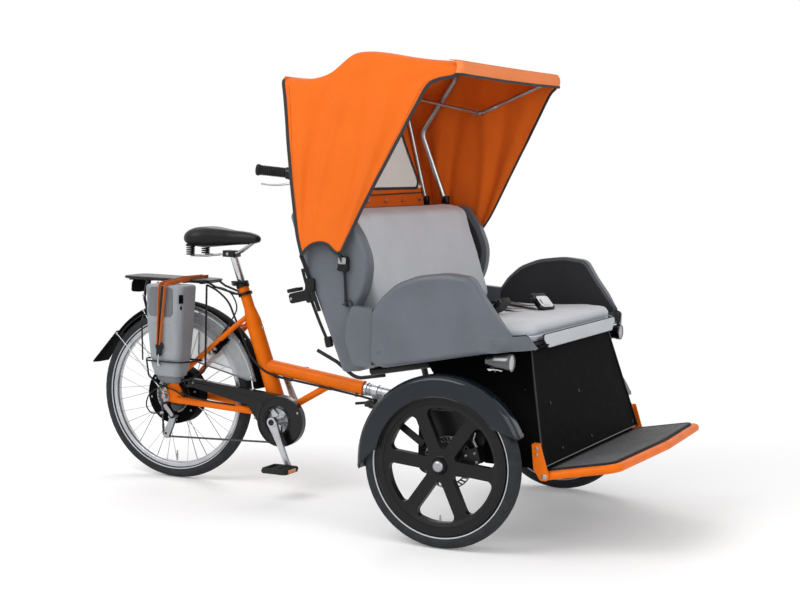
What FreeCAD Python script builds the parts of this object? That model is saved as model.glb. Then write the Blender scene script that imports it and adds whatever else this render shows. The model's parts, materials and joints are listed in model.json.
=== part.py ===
import FreeCAD, Part
import math
import os
import Sketcher
from FreeCAD import Placement, Rotation, Vector

# Cycle rickshaw with two front wheels: a hooded double seat on the front unit, which swings about an upright
# pin under the seat, and a one-wheeled rear frame with saddle, cranks, hub motor, rack and battery.
# Millimetres. +X points forward, +Y to the left, +Z up. Pieces are drawn with x measured from the front axle
# and z from the ground, and their Placement carries them to the origin under the middle of the vehicle.

DIMENSIONS = (
    # alias, value, what it is
    ("front_axle_x", 525.1, "front axle ahead of the origin"),
    ("wheelbase", 1252, "front axle to rear axle"),
    ("track", 1050, "between the middles of the front tyres"),
    ("front_radius", 250, "front tyre, outside"),
    ("rear_radius", 300, "rear tyre, outside"),
    ("tyre_width", 47, "all three tyres"),
    ("front_seat_radius", 211, "tyre on the front wheel"),
    ("rear_seat_radius", 261, "tyre on the rear rim"),
    ("front_rim_width", 38, "front wheel at its edge"),
    ("rear_rim_width", 30, "rear rim"),
    ("front_axle_radius", 10, "stub axle"),
    ("rear_axle_radius", 6, "motor axle"),
    ("running_play", 0.05, "radial play of a shaft in its bore"),
    ("hub_width", 60, "front hub between its faces"),
    ("disc_radius", 80, "front brake disc"),
    ("disc_thickness", 3, "front brake disc"),
    ("motor_radius", 105, "hub motor"),
    ("steer_x", -240, "steering pin"),
    ("steer_pin_radius", 12, "steering pin"),
    ("steer_head_radius", 26, "steering head tube"),
    ("steer_head_bottom", 286, "steering head tube"),
    ("steer_head_top", 392, "steering head tube"),
    ("crank_x", -814, "crank axle"),
    ("crank_z", 247, "crank axle"),
    ("crank_length", 160, "crank axle to pedal axle"),
    ("crank_angle", -66, "right crank from the forward direction, in degrees"),
    ("crank_axle_radius", 8, "crank axle"),
    ("pedal_axle_radius", 5, "pedal axle"),
    ("chainring_radius", 66, "chainring over its teeth"),
    ("arm_y", 98, "middle of a crank arm from the middle plane"),
    ("chain_line", 47.5, "chain to the right of the middle plane"),
    ("beam_radius", 24, "main beam"),
    ("seat_tube_radius", 29, "seat tube at its foot"),
    ("seat_tube_neck", 19, "seat tube at its top"),
    ("post_radius", 13.6, "saddle post"),
    ("stay_radius", 9, "seat stays"),
    ("chain_stay_radius", 13, "chain stays"),
    ("rack_height", 713, "top of the rack plate"),
    ("rack_length", 336, "rack plate"),
    ("rack_width", 140, "rack plate"),
    ("rack_thickness", 8, "rack plate"),
    ("rack_hole_radius", 3.2, "holes for a basket or box"),
    ("rack_hole_pitch_x", 240, "holes along the rack"),
    ("rack_hole_pitch_y", 90, "holes across the rack"),
    ("fender_radius", 271, "front mudguard, outside"),
    ("fender_wall", 3, "front mudguard"),
    ("rear_fender_radius", 332, "rear mudguard, outside"),
    ("tub_half_width", 548, "outside of an armrest from the middle plane"),
    ("tub_wall", 46, "armrest"),
    ("tub_rounding", 18, "outer edges of the armrests"),
    ("shell_half_width", 500, "outside of a wing from the middle plane"),
    ("shell_rounding", 16, "outer edges of the backrest shell"),
    ("cushion_half_width", 452, "seat cushion"),
    ("hinge_x", 303, "footplate hinge"),
    ("hinge_z", 236, "footplate hinge"),
    ("hinge_pin_radius", 6, "footplate hinge"),
    ("footplate_tilt", -11, "front edge up, in degrees"),
    ("deck_height", 11.5, "middle of the deck above the hinge"),
    ("rim_tube_radius", 13, "tube round the footplate"),
    ("bow_radius", 10, "hood bows"),
    ("stay_tube_radius", 8, "hood stays"),
    ("knuckle_x", -284, "hood stay knuckle"),
    ("knuckle_z", 1311, "hood stay knuckle"),
    ("knuckle_pin_radius", 4, "hood stay knuckle"),
    ("cloth", 3, "hood cloth with its binding"),
    ("hood_split_x", -364, "main bow, where the front cloth starts"),
)

RIGHT, LEFT = -1, 1
SIDES = (("right", RIGHT), ("left", LEFT))

doc = FreeCAD.newDocument("cycle_rickshaw")
sheet = doc.addObject("Spreadsheet::Sheet", "Sizes")
for row, (alias, value, meaning) in enumerate(DIMENSIONS, 1):
    sheet.set(f"A{row}", alias)
    sheet.set(f"B{row}", str(value))
    sheet.setAlias(f"B{row}", alias)
    sheet.set(f"C{row}", meaning)
doc.recompute()

nodes = {}


def size(alias):
    """A driving dimension from the sheet, in millimetres."""
    return float(sheet.get(alias))


def bind(obj, **expressions):
    """Tie properties to the sheet. A double underscore in a name stands for a dot."""
    for name, expression in expressions.items():
        obj.setExpression(name.replace("__", "."), expression)


def node(label, obj, x="Sizes.front_axle_x", y=None, z=None):
    """Give a sub-part its name and its place, and keep it for export."""
    obj.Label = label
    bind(obj, Placement__Base__x=x)
    if y is not None:
        bind(obj, Placement__Base__y=y)
    if z is not None:
        bind(obj, Placement__Base__z=z)
    nodes[label] = obj
    return obj


# ---------------------------------------------------------------- PartDesign helpers


def new_body(label, x="Sizes.front_axle_x", y=None, z=None, turn=None):
    """A body for one sub-part; turn is degrees about +Y."""
    body = doc.addObject("PartDesign::Body", label + "_body")
    if turn is not None:
        body.Placement = Placement(Vector(), Rotation(Vector(0, 1, 0), turn))
    return node(label, body, x, y, z)


def new_sketch(body, name, plane, offset=None):
    """A sketch on one of the body's own planes, moved along the plane's normal by an expression."""
    sketch = body.newObject("Sketcher::SketchObject", name)
    sketch.AttachmentSupport = [(next(f for f in body.Origin.OriginFeatures if f.Role == plane), "")]
    sketch.MapMode = "FlatFace"
    if offset is not None:
        bind(sketch, AttachmentOffset__Base__z=offset)
    return sketch


def rounded_path(points, closed=True):
    """Edges of a path whose corners (x, y, radius) are rounded with tangent arcs; a radius of 0 is sharp."""
    corners = []
    count = len(points)
    for i, (x, y, radius) in enumerate(points):
        here = Vector(x, y, 0)
        if radius <= 0 or (not closed and i in (0, count - 1)):
            corners.append((here, None, here))
            continue
        back = Vector(points[i - 1][0], points[i - 1][1], 0).sub(here).normalize()
        ahead = Vector(points[(i + 1) % count][0], points[(i + 1) % count][1], 0).sub(here).normalize()
        half = back.getAngle(ahead) / 2
        reach = radius / math.tan(half)
        middle = back.add(ahead).normalize()
        start, end = here.add(back * reach), here.add(ahead * reach)
        top = here.add(middle * (radius / math.sin(half) - radius))
        corners.append((start, top, end))
    edges = []
    for i, (start, top, end) in enumerate(corners):
        if top is not None:
            edges.append(Part.Arc(start, top, end))
        if closed or i < count - 1:
            following = corners[(i + 1) % count][0]
            if end.distanceToPoint(following) > 1e-4:
                edges.append(Part.LineSegment(end, following))
    return edges


def outline(sketch, points):
    """Draw a closed outline with rounded corners and join its ends."""
    sketch.addGeometry(rounded_path(points), False)
    return sketch


def revolve(body, sketch, angle=360.0):
    """Turn a sketch on the YZ plane about the body's Y axis, evenly to both sides of the sketch."""
    turned = body.newObject("PartDesign::Revolution", sketch.Name + "_turned")
    turned.Profile = sketch
    turned.ReferenceAxis = (sketch, ["H_Axis"])
    turned.Angle = angle
    turned.Midplane = True
    return turned


def cut_through(body, sketch):
    """Cut a sketch through the whole body, both ways."""
    cut = body.newObject("PartDesign::Pocket", sketch.Name + "_cut")
    cut.Profile = sketch
    cut.Type = "ThroughAll"
    cut.Midplane = True
    return cut


def pad(body, sketch, length):
    """Thicken a sketch evenly to both sides of its plane."""
    solid = body.newObject("PartDesign::Pad", sketch.Name + "_pad")
    solid.Profile = sketch
    solid.Midplane = True
    solid.Length = length
    return solid


def loft(body, sketches, ruled):
    """Join sketches into a solid, with straight sides between them or one smooth skin."""
    solid = body.newObject("PartDesign::AdditiveLoft", body.Name + "_loft")
    solid.Profile = sketches[0]
    solid.Sections = sketches[1:]
    solid.Ruled = ruled
    return solid


def repeat_round(body, feature, count):
    """Repeat a feature evenly about the body's Y axis."""
    pattern = body.newObject("PartDesign::PolarPattern", feature.Name + "_round")
    pattern.Originals = [feature]
    pattern.Axis = (next(f for f in body.Origin.OriginFeatures if f.Role == "Y_Axis"), [""])
    pattern.Angle = 360
    pattern.Occurrences = count
    body.Tip = pattern
    return pattern


# ---------------------------------------------------------------- Part helpers


def feature(label, shape, **place):
    """A sub-part whose shape comes from Part's own functions."""
    obj = doc.addObject("Part::Feature", label + "_shape")
    obj.Shape = shape
    return node(label, obj, **place)


def rod(start, end, radius):
    """A straight round bar."""
    way = Vector(*end).sub(Vector(*start))
    return Part.makeCylinder(radius, way.Length, Vector(*start), way)


def bent_tube(points, radius, bend, closed=False):
    """A round tube through corners in space, each corner an arc of the bend radius."""
    corners = [Vector(*p) for p in points]
    edges, last = [], corners[0]
    for before, here, after in zip(corners, corners[1:], corners[2:]):
        back, ahead = before.sub(here).normalize(), after.sub(here).normalize()
        half = back.getAngle(ahead) / 2
        reach = bend / math.tan(half)
        start, end = here.add(back * reach), here.add(ahead * reach)
        top = here.add(back.add(ahead).normalize() * (bend / math.sin(half) - bend))
        edges += [Part.LineSegment(last, start).toShape(), Part.Arc(start, top, end).toShape()]
        last = end
    edges.append(Part.LineSegment(last, corners[-1]).toShape())
    path = Part.Wire(edges)
    ring = Part.Wire(Part.makeCircle(radius, corners[0], corners[1].sub(corners[0])))
    return path.makePipeShell([ring], True, True)


def prism_xz(points, y_from, y_to):
    """An outline in x and z, with rounded corners (x, z, radius), thickened along y."""
    edges = [edge.toShape() for edge in rounded_path(points)]
    face = Part.Face(Part.Wire(edges))
    face.rotate(Vector(), Vector(1, 0, 0), 90)
    face.translate(Vector(0, y_from, 0))
    return face.extrude(Vector(0, y_to - y_from, 0))


def prism_xy(points, z_from, z_to):
    """An outline in x and y, with rounded corners (x, y, radius), thickened along z."""
    edges = [edge.toShape() for edge in rounded_path(points)]
    face = Part.Face(Part.Wire(edges))
    face.translate(Vector(0, 0, z_from))
    return face.extrude(Vector(0, 0, z_to - z_from))


def prism_yz(points, x_from, x_to):
    """An outline in y and z, with rounded corners (y, z, radius), thickened along x."""
    edges = [edge.toShape() for edge in rounded_path(points)]
    face = Part.Face(Part.Wire(edges))
    face.rotate(Vector(), Vector(1, 1, 1), 120)
    face.translate(Vector(x_from, 0, 0))
    return face.extrude(Vector(x_to - x_from, 0, 0))


def rectangle(x_from, x_to, y_from, y_to, radius=0.0):
    """Corners of a rectangle for the prism helpers."""
    return [(x_from, y_from, radius), (x_to, y_from, radius), (x_to, y_to, radius), (x_from, y_to, radius)]


def box(x_from, x_to, y_from, y_to, z_from, z_to):
    """A plain block between two corners."""
    return Part.makeBox(x_to - x_from, y_to - y_from, z_to - z_from, Vector(x_from, y_from, z_from))


def join(*shapes):
    """One solid from pieces that touch or overlap."""
    return shapes[0].multiFuse(list(shapes[1:])).removeSplitter()


def mirrored(shape):
    """The same piece on the other side of the middle plane."""
    return shape.mirror(Vector(), Vector(0, 1, 0))


def both_sides(shape):
    """The piece and its mirror image, as two solids that don't touch."""
    return Part.makeCompound([shape, mirrored(shape)])


def ring_about_y(points, x, z):
    """Turn an outline of (y, radius, rounding) about a line along y through x and z."""
    edges = [edge.toShape() for edge in rounded_path(points)]
    face = Part.Face(Part.Wire(edges))
    face.rotate(Vector(), Vector(1, 1, 1), 120)
    face.translate(Vector(x, 0, z))
    return face.revolve(Vector(x, 0, z), Vector(0, 1, 0), 360)


# ---------------------------------------------------------------- wheels

REAR_X = "Sizes.front_axle_x - Sizes.wheelbase"


def tyre(label, radius, seat, x, y, z):
    """A tyre: a rounded section between its seat on the rim and its crown."""
    half = size("tyre_width") / 2
    body = new_body(label, x, y, z)
    section = new_sketch(body, label + "_section", "YZ_Plane")
    inner, outer = size(seat), size(radius)
    outline(section, [
        (-13, inner, 0), (-half, inner + 13, 10), (-half, outer - 16, 15), (-9, outer, 8),
        (9, outer, 8), (half, outer - 16, 15), (half, inner + 13, 10), (13, inner, 0),
    ])
    revolve(body, section)


def spoked_casting(label, x, y, z):
    """A front wheel: hub, web and rim in one casting, with six windows between straight spokes."""
    body = new_body(label, x, y, z)
    section = new_sketch(body, label + "_section", "YZ_Plane")
    bore = size("front_axle_radius") + size("running_play")
    hub, edge, seat = size("hub_width") / 2, size("front_rim_width") / 2, size("front_seat_radius")
    outline(section, [
        (-hub, bore, 0), (hub, bore, 0), (hub, 20, 1.5), (15, 27, 6), (13, 62, 20), (12, seat - 42, 4),
        (edge, seat - 24, 4), (edge, seat, 0), (-edge, seat, 0), (-edge, seat - 24, 4), (-12, seat - 42, 4),
        (-13, 62, 20), (-15, 27, 6), (-hub, 20, 1.5),
    ])
    revolve(body, section)
    window = new_sketch(body, label + "_window", "XZ_Plane")
    spoke_half, rim_inside, side_angle, middle = 19.0, seat - 40, math.radians(23.5), math.radians(25)
    reach = rim_inside + 3.5
    corners = ((2 * spoke_half, 0, 12), (reach, -side_angle, 17), (reach + 0.3, 0, 150), (reach, side_angle, 17))
    outline(window, [(r * math.cos(middle + lean), r * math.sin(middle + lean), rounding)
                     for r, lean, rounding in corners])
    repeat_round(body, cut_through(body, window), 6)


def brake_disc(label, side, x, y, z):
    """A front brake disc on its carrier, inboard of the wheel, with vent holes round its track."""
    body = new_body(label, x, y, z)
    section = new_sketch(body, label + "_section", "YZ_Plane")
    inward, face = -side, 45
    hub, thick, outer = size("hub_width") / 2, size("disc_thickness"), size("disc_radius")
    bore = size("front_axle_radius") + 0.5
    outline(section, [
        (inward * hub, bore, 0), (inward * (face + thick), bore, 0), (inward * (face + thick), outer, 0),
        (inward * face, outer, 0), (inward * face, 22, 0), (inward * hub, 22, 0),
    ])
    revolve(body, section)
    slot = new_sketch(body, label + "_slot", "XZ_Plane")
    outline(slot, [(32, -9, 6), (58, -13, 5), (58, 13, 5), (32, 9, 6)])
    repeat_round(body, cut_through(body, slot), 6)


def front_wheels():
    for name, side in SIDES:
        place = ("Sizes.front_axle_x", f"{side} * Sizes.track / 2", "Sizes.front_radius")
        tyre(f"front_tyre_{name}", "front_radius", "front_seat_radius", *place)
        spoked_casting(f"front_wheel_{name}", *place)
        brake_disc(f"brake_disc_{name}", side, *place)


def rear_rim():
    """Rear rim and its crossed spokes, which end on the motor's two flanges."""
    seat, half = size("rear_seat_radius"), size("rear_rim_width") / 2
    rim = ring_about_y([
        (-half, seat, 0), (half, seat, 0), (half, seat - 12, 3), (7, seat - 17, 4), (-7, seat - 17, 4),
        (-half, seat - 12, 3),
    ], 0, 0)
    spokes = []
    flange = size("motor_radius") + 1.2
    for i in range(36):
        turn, flange_y = math.radians(10 * i), (22, -22)[i % 2]
        lean = math.radians((9, 9, -9, -9)[i % 4])
        inner = Vector(flange * math.cos(turn + lean), flange_y, flange * math.sin(turn + lean))
        outer = Vector((seat - 14) * math.cos(turn), 0, (seat - 14) * math.sin(turn))
        way = outer.sub(inner)
        blade = Part.makeBox(2.2, 2.2, way.Length, Vector(-1.1, -1.1, 0))
        blade.Placement = Placement(inner, Rotation(Vector(0, 0, 1), way))
        spokes.append(blade)
    return rim.multiFuse(spokes)


def rear_wheel():
    place = (REAR_X, "0", "Sizes.rear_radius")
    tyre("rear_tyre", "rear_radius", "rear_seat_radius", *place)
    feature("rear_rim", rear_rim(), x=place[0], z=place[2])
    bore, outer = size("rear_axle_radius") + size("running_play"), size("motor_radius")
    body = new_body("hub_motor", *place)
    section = new_sketch(body, "hub_motor_section", "YZ_Plane")
    outline(section, [
        (-31, bore, 0), (38, bore, 0), (38, 40, 0), (34, 60, 6), (33, outer - 6, 4), (28, outer, 2), (-28, outer, 2),
        (-31, outer - 6, 3),
    ])
    revolve(body, section)
    body = new_body("cassette", *place)
    section = new_sketch(body, "cassette_section", "YZ_Plane")
    steps = ((-34, 62), (-36, 62), (-36, 34), (-41, 34), (-41, 30), (-46, 30), (-46, 27), (-51, 27), (-51, 24),
             (-56, 24), (-56, 20), (-60, 20))
    outline(section, [(-31.3, bore, 0), (-31.3, 20, 0), (-34, 20, 0)]
            + [(y, r, 0) for y, r in steps] + [(-60, bore, 0)])
    revolve(body, section)


# ---------------------------------------------------------------- rear frame


def crank_point(reach, turn=0.0):
    """A point on the crank circle, as x and z."""
    angle = math.radians(size("crank_angle") + turn)
    return size("crank_x") + reach * math.cos(angle), size("crank_z") + reach * math.sin(angle)


def main_frame():
    """Beam, seat tube, crank shell and lower strut, welded together."""
    cx, cz = size("crank_x"), size("crank_z")
    tilt = Vector(-0.36, 0, 0.933)
    wide, narrow = size("seat_tube_radius"), size("seat_tube_neck")
    rings = [Part.Wire(Part.makeCircle(radius, Vector(x, 0, z), tilt))
             for x, z, radius in ((cx - 14, cz, wide), (-950, 578, wide - 2), (-966, 622, narrow), (-993, 694, narrow))]
    seat_tube = Part.makeLoft(rings, True, True)
    beam = rod((-905, 0, 427), (-515, 0, 375.5), size("beam_radius"))
    strut = rod((cx + 5, 0, 280), (-640, 0, 380), 12)
    shell = rod((cx, -36, cz), (cx, 36, cz), 25)
    frame = join(seat_tube, beam, strut, shell)
    bore = rod((cx, -60, cz), (cx, 60, cz), size("crank_axle_radius") + size("running_play"))
    return frame.cut(bore)


def chain_stays():
    """Chain stays, dropouts and the fixed axle of the rear wheel."""
    ax, az = -size("wheelbase"), size("rear_radius")
    half = [bent_tube([(-838, 24, 262), (-905, 30, 268), (-985, 56, 276), (-1205, 75, 290)],
                      size("chain_stay_radius"), 60)]
    plate = prism_xz([(ax - 20, az - 18, 14), (ax + 62, az - 26, 6), (ax + 66, az + 14, 6), (ax + 40, az + 52, 6),
                      (ax + 14, az + 52, 6), (ax - 20, az + 20, 14)], 68, 74)
    side = join(half[0], plate)
    axle = rod((ax, -80, az), (ax, 80, az), size("rear_axle_radius"))
    return join(side, mirrored(side), axle)


def seat_stays():
    """The pair of stays from the dropouts to the seat tube, with the bridge above the mudguard."""
    stay = bent_tube([(-1222, 71, 352), (-1180, 66, 395), (-1010, 50, 545), (-968, 16, 590)], size("stay_radius"), 20)
    bridge = rod((-998, -46, 556), (-998, 46, 556), 6)
    return join(stay, mirrored(stay), bridge)


def coupling():
    """Silver coupling: tube from the beam, yoke with two lugs, and the upright steering pin."""
    sx, low, high = size("steer_x"), size("steer_head_bottom"), size("steer_head_top")
    tube = rod((-515, 0, 375.5), (sx - 50, 0, 346), 20)
    yoke = prism_xz([(sx - 66, low - 13, 6), (sx - 36, low - 13, 0), (sx - 36, high + 13, 0), (sx - 66, high + 13, 6)],
                    -26, 26)
    lugs = []
    for z in (low - 13, high + 1):
        lug = Part.makeCylinder(26, 12, Vector(sx, 0, z)).fuse(box(sx - 40, sx, -26, 26, z, z + 12))
        lugs.append(lug)
    pin = Part.makeCylinder(size("steer_pin_radius"), high - low + 26, Vector(sx, 0, low - 13))
    return join(tube, yoke, lugs[0], lugs[1], pin)


def seat_post():
    """Saddle post with its clamp collar."""
    foot, head = Vector(-993, 0, 694), Vector(-1036, 0, 810)
    way = head.sub(foot).normalize()
    post = rod(tuple(foot), tuple(head), size("post_radius"))
    collar = rod(tuple(foot), tuple(foot + way * 16), 23)
    return join(post, collar)


def saddle():
    """Saddle cover: wide and padded behind, narrow at the nose."""
    body = new_body("saddle")
    sections = []
    for x, half, low, high in ((-1208, 62, 838, 862), (-1150, 88, 826, 893), (-1085, 62, 832, 898),
                               (-1010, 30, 842, 886), (-927, 17, 852, 874)):
        section = new_sketch(body, "saddle_section", "YZ_Plane", f"{x}")
        sections.append(outline(section, rectangle(-half, half, low, high, min(half, (high - low) / 2) * 0.8)))
    loft(body, sections, False)


def rack():
    """Rack: plate with four box holes, two legs to the dropouts and two stays to the seat tube."""
    top, thick = size("rack_height"), size("rack_thickness")
    front = -1108
    rear = front - size("rack_length")
    half = size("rack_width") / 2
    plate = prism_xy([(rear, -half, 30), (front, -half + 12, 18), (front, half - 12, 18), (rear, half, 30)],
                     top - thick, top)
    middle = (front + rear) / 2
    holes = [Part.makeCylinder(size("rack_hole_radius"), 40,
                               Vector(middle + i * size("rack_hole_pitch_x") / 2, j * size("rack_hole_pitch_y") / 2,
                                      top - 20)) for i in (-1, 1) for j in (-1, 1)]
    plate = plate.cut(Part.makeCompound(holes))
    leg = bent_tube([(-1345, 62, top - thick / 2), (-1345, 80, 640), (-1250, 80, 322)], 5, 25)
    stay = bent_tube([(-1120, 40, top - thick / 2), (-1085, 34, 690), (-1003, 21, 668)], 4, 15)
    return join(plate, leg, mirrored(leg), stay, mirrored(stay))


def battery():
    """Battery case: a tapering bottle-like box with rounded corners, hung on the rack's right side."""
    body = new_body("battery_case")
    sections = []
    for z, x_from, x_to, y_from, y_to, radius in ((384, -1240, -1122, -186, -112, 22), (420, -1248, -1112, -196, -104, 26),
                                                  (560, -1262, -1102, -203, -98, 28), (700, -1268, -1098, -205, -96, 28)):
        section = new_sketch(body, "battery_section", "XY_Plane", f"{z}")
        sections.append(outline(section, rectangle(x_from, x_to, y_from, y_to, radius)))
    loft(body, sections, True)


def battery_cradle():
    """Thin rod cradle that carries the battery from the rack."""
    hoop = bent_tube([(-1284, -88, 700), (-1284, -90, 400), (-1240, -150, 372), (-1120, -150, 372),
                      (-1086, -90, 400), (-1086, -88, 700)], 3.5, 24)
    return hoop


def rear_fender():
    """Rear mudguard with a flared flap at its tail."""
    radius, half, lip = size("rear_fender_radius"), 31, 20
    cx, cz = -size("wheelbase") + 17, size("rear_radius")
    edges = [edge.toShape() for edge in rounded_path([
        (-half, radius - lip, 0), (-half, radius - 4, 10), (-12, radius, 8), (12, radius, 8), (half, radius - 4, 10),
        (half, radius - lip, 0), (half - 2.5, radius - lip, 0), (half - 2.5, radius - 6.5, 8), (11, radius - 2.5, 7),
        (-11, radius - 2.5, 7), (-half + 2.5, radius - 6.5, 8), (-half + 2.5, radius - lip, 0)])]
    face = Part.Face(Part.Wire(edges))
    face.rotate(Vector(), Vector(1, 1, 1), 120)
    face.translate(Vector(cx, 0, cz))
    axis, start = Vector(0, -1, 0), Vector(cx, 0, cz)
    face.rotate(start, axis, 8 - 90)
    arch = face.revolve(start, axis, 135)
    flap = prism_xz([(-1491, 499, 0), (-1497, 509, 0), (-1602, 388, 3), (-1566, 393, 6), (-1500, 490, 0)], -27, 27)
    return join(arch, flap)


def rear_lamp():
    """Rear lamp: a wide body under the tail of the rack."""
    body = new_body("rear_lamp")
    section = new_sketch(body, "rear_lamp_section", "XZ_Plane")
    pad(body, outline(section, [(-1431, 655, 8), (-1394, 655, 4), (-1394, 698, 4), (-1424, 698, 8)]), 72)


def coat_guard():
    """Clear guards beside the rear wheel, on the mudguard's two lips."""
    cx, cz, outer = -size("wheelbase") + 17, size("rear_radius"), size("rear_fender_radius") - 6
    disc = Part.makeCylinder(outer, 2.5, Vector(cx, 31, cz), Vector(0, 1, 0))
    wedge = prism_xz([(-1190, 430, 12), (-935, 372, 14), (-880, 372, 0), (-880, 660, 0), (-1190, 660, 0)], 20, 60)
    return both_sides(disc.common(wedge))


def chain_case():
    """Chain case: outer face with a round opening for the cranks, and a rim folded inwards."""
    cx, cz = size("crank_x") + 11, size("crank_z")
    disc = Part.makeCylinder(88, 24, Vector(cx, -66, cz), Vector(0, 1, 0))
    tail = prism_xz([(-1172, 340, 6), (-930, 292, 0), (cx - 60, 200, 0), (cx, 250, 0), (cx + 6, 334.5, 0),
                     (-1172, 368, 6)], -66, -42)
    outer = join(disc, tail)
    inner_disc = Part.makeCylinder(85.5, 30, Vector(cx, -63.5, cz), Vector(0, 1, 0))
    inner_tail = prism_xz([(-1190, 300, 0), (-930, 240, 0), (cx - 50, 200, 0), (cx, 250, 0), (cx + 2, 332, 0),
                           (-1190, 366.5, 0)], -63.5, -30)
    opening = Part.makeCylinder(44, 60, Vector(size("crank_x"), -90, cz), Vector(0, 1, 0))
    lower_run = box(cx - 110, cx - 20, -56, -30, 140, 190)
    return outer.cut(join(inner_disc, inner_tail)).cut(opening).cut(lower_run)


def chain():
    """The chain's closed loop round chainring, sprockets and tension wheel."""
    body = new_body("chain")
    loop = new_sketch(body, "chain_loop", "XZ_Plane", "Sizes.chain_line")
    pad(body, outline(loop, [(-736, 326, 74), (-736, 168, 74), (-1284, 146, 14), (-1296, 346, 40)]), 6)
    inside = new_sketch(body, "chain_inside", "XZ_Plane")
    cut_through(body, outline(inside, [(-745, 317, 68), (-745, 177, 68), (-1276, 154.5, 8), (-1286, 336, 36)]))


def derailleur():
    """Rear derailleur: knuckle on the dropout, linkage and cage."""
    arm = prism_xz([(-1266, 286, 8), (-1240, 286, 8), (-1216, 216, 8), (-1240, 210, 8)], -78, -75)
    body_block = prism_xz([(-1262, 268, 8), (-1222, 262, 8), (-1208, 226, 8), (-1250, 222, 8)], -90, -78)
    cage = prism_xz([(-1246, 232, 8), (-1222, 232, 8), (-1256, 142, 8), (-1282, 150, 8)], -62, -58)
    link = rod((-1236, -80, 226), (-1236, -58, 226), 6)
    return join(arm, body_block, cage, link)


def crankset():
    """Crank axle, both arms, chainring and its carrier."""
    cx, cz, reach, y = size("crank_x"), size("crank_z"), size("crank_length"), size("arm_y")
    axle = rod((cx, -y, cz), (cx, y, cz), size("crank_axle_radius"))
    parts = [axle]
    for side, turn in ((RIGHT, 0), (LEFT, 180)):
        px, pz = crank_point(reach, turn)
        boss = rod((cx, side * (y - 12), cz), (cx, side * (y + 8), cz), 17)
        eye = rod((px, side * (y - 6), pz), (px, side * (y + 6), pz), 13)
        way = Vector(px - cx, 0, pz - cz).normalize()
        flank = Vector(way.z, 0, -way.x)
        corners = []
        for along, wide in ((0, 14), (reach, 10.5)):
            for sign in ((1, -1) if along == 0 else (-1, 1)):
                p = Vector(cx, 0, cz) + way * along + flank * (sign * wide)
                corners.append((p.x, p.z, 0))
        blade = prism_xz(corners, side * y - 6, side * y + 6)
        bore = rod((px, side * (y - 20), pz), (px, side * (y + 20), pz),
                   size("pedal_axle_radius") + size("running_play"))
        parts.append(join(boss, eye, blade).cut(bore))
    sleeve = rod((cx, -y + 10, cz), (cx, -45, cz), 15)
    ring = Part.makeCylinder(size("chainring_radius"), 4, Vector(cx, -49.5, cz), Vector(0, 1, 0))
    for i in range(5):
        angle = math.radians(72 * i + 18)
        ring = ring.cut(Part.makeCylinder(12, 20, Vector(cx + 34 * math.cos(angle), -60, cz + 34 * math.sin(angle)),
                                          Vector(0, 1, 0)))
    return join(*parts, sleeve, ring)


def pedal(label, side, turn):
    """A platform pedal on its axle: two cheeks, three treads and the bearing tube."""
    px, pz = crank_point(size("crank_length"), turn)
    inner, outer = size("arm_y") + 11, size("arm_y") + 108
    body = new_body(label)
    cheek = new_sketch(body, label + "_cheek", "XZ_Plane", f"{-side * (inner + outer) / 2}")
    pad(body, outline(cheek, rectangle(px - 46, px + 46, pz - 9, pz + 9, 6)), outer - inner)
    for way in (-1, 1):
        gap = new_sketch(body, label + "_gap", "XY_Plane")
        span = sorted((side * (inner + 14), side * (outer - 14)))
        cut_through(body, outline(gap, rectangle(px + way * 27 - 14, px + way * 27 + 14, *span, 5)))
    axle_from, axle_to = size("arm_y") - 6, outer - 4
    axle = new_sketch(body, label + "_axle", "XZ_Plane", f"{-side * (axle_from + axle_to) / 2}")
    axle.addGeometry(Part.Circle(Vector(px, pz, 0), Vector(0, 0, 1), size("pedal_axle_radius")), False)
    pad(body, axle, axle_to - axle_from)


def ring_lock():
    """Ring lock round the rear tyre: a horseshoe with an ear on each seat stay."""
    ring = Part.makeCylinder(52, 16, Vector(0, 0, -8)).cut(Part.makeCylinder(37, 30, Vector(0, 0, -15)))
    ring = ring.cut(box(-120, 0, -34, 34, -20, 20))
    ears = [box(-20, 20, side * 52 - 8, side * 52 + 8, -8, 8) for side in (RIGHT, LEFT)]
    lock = join(ring, *ears)
    lock.rotate(Vector(), Vector(0, 1, 0), -45)
    lock.translate(Vector(-1056, 0, 485))
    return lock


def frame_cables():
    """Gear and motor cables clipped along the underside of the beam."""
    return bent_tube([(-862, -12, 392), (-800, -12, 386), (-640, -12, 366), (-520, -12, 349), (-470, -12, 340)], 4, 60)


def rear_frame():
    frame = main_frame()
    feature("main_frame", frame)
    lower = chain_stays()
    feature("chain_stays", lower.cut(frame))
    stays = seat_stays().cut(frame).cut(lower)
    feature("seat_stays", stays)
    feature("coupling", coupling().cut(frame))
    feature("seat_post", seat_post().cut(frame))
    saddle()
    feature("rack", rack().cut(frame))
    battery()
    feature("battery_cradle", battery_cradle())
    feature("rear_fender", rear_fender())
    rear_lamp()
    lock = ring_lock().cut(stays)
    feature("ring_lock", lock)
    feature("coat_guard", coat_guard().cut(lock))
    feature("chain_case", chain_case())
    chain()
    feature("derailleur", derailleur())
    feature("frame_cables", frame_cables().cut(frame))
    feature("crankset", crankset())
    pedal("pedal_right", RIGHT, 0)
    pedal("pedal_left", LEFT, 180)


# ---------------------------------------------------------------- front unit

FOOTPLATE_X = "Sizes.front_axle_x + Sizes.hinge_x"


def rail_z(x):
    """Height of the seat rails' axis, which rise forwards under the tub."""
    return 511 + 0.197 * (x + 195)


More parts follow.
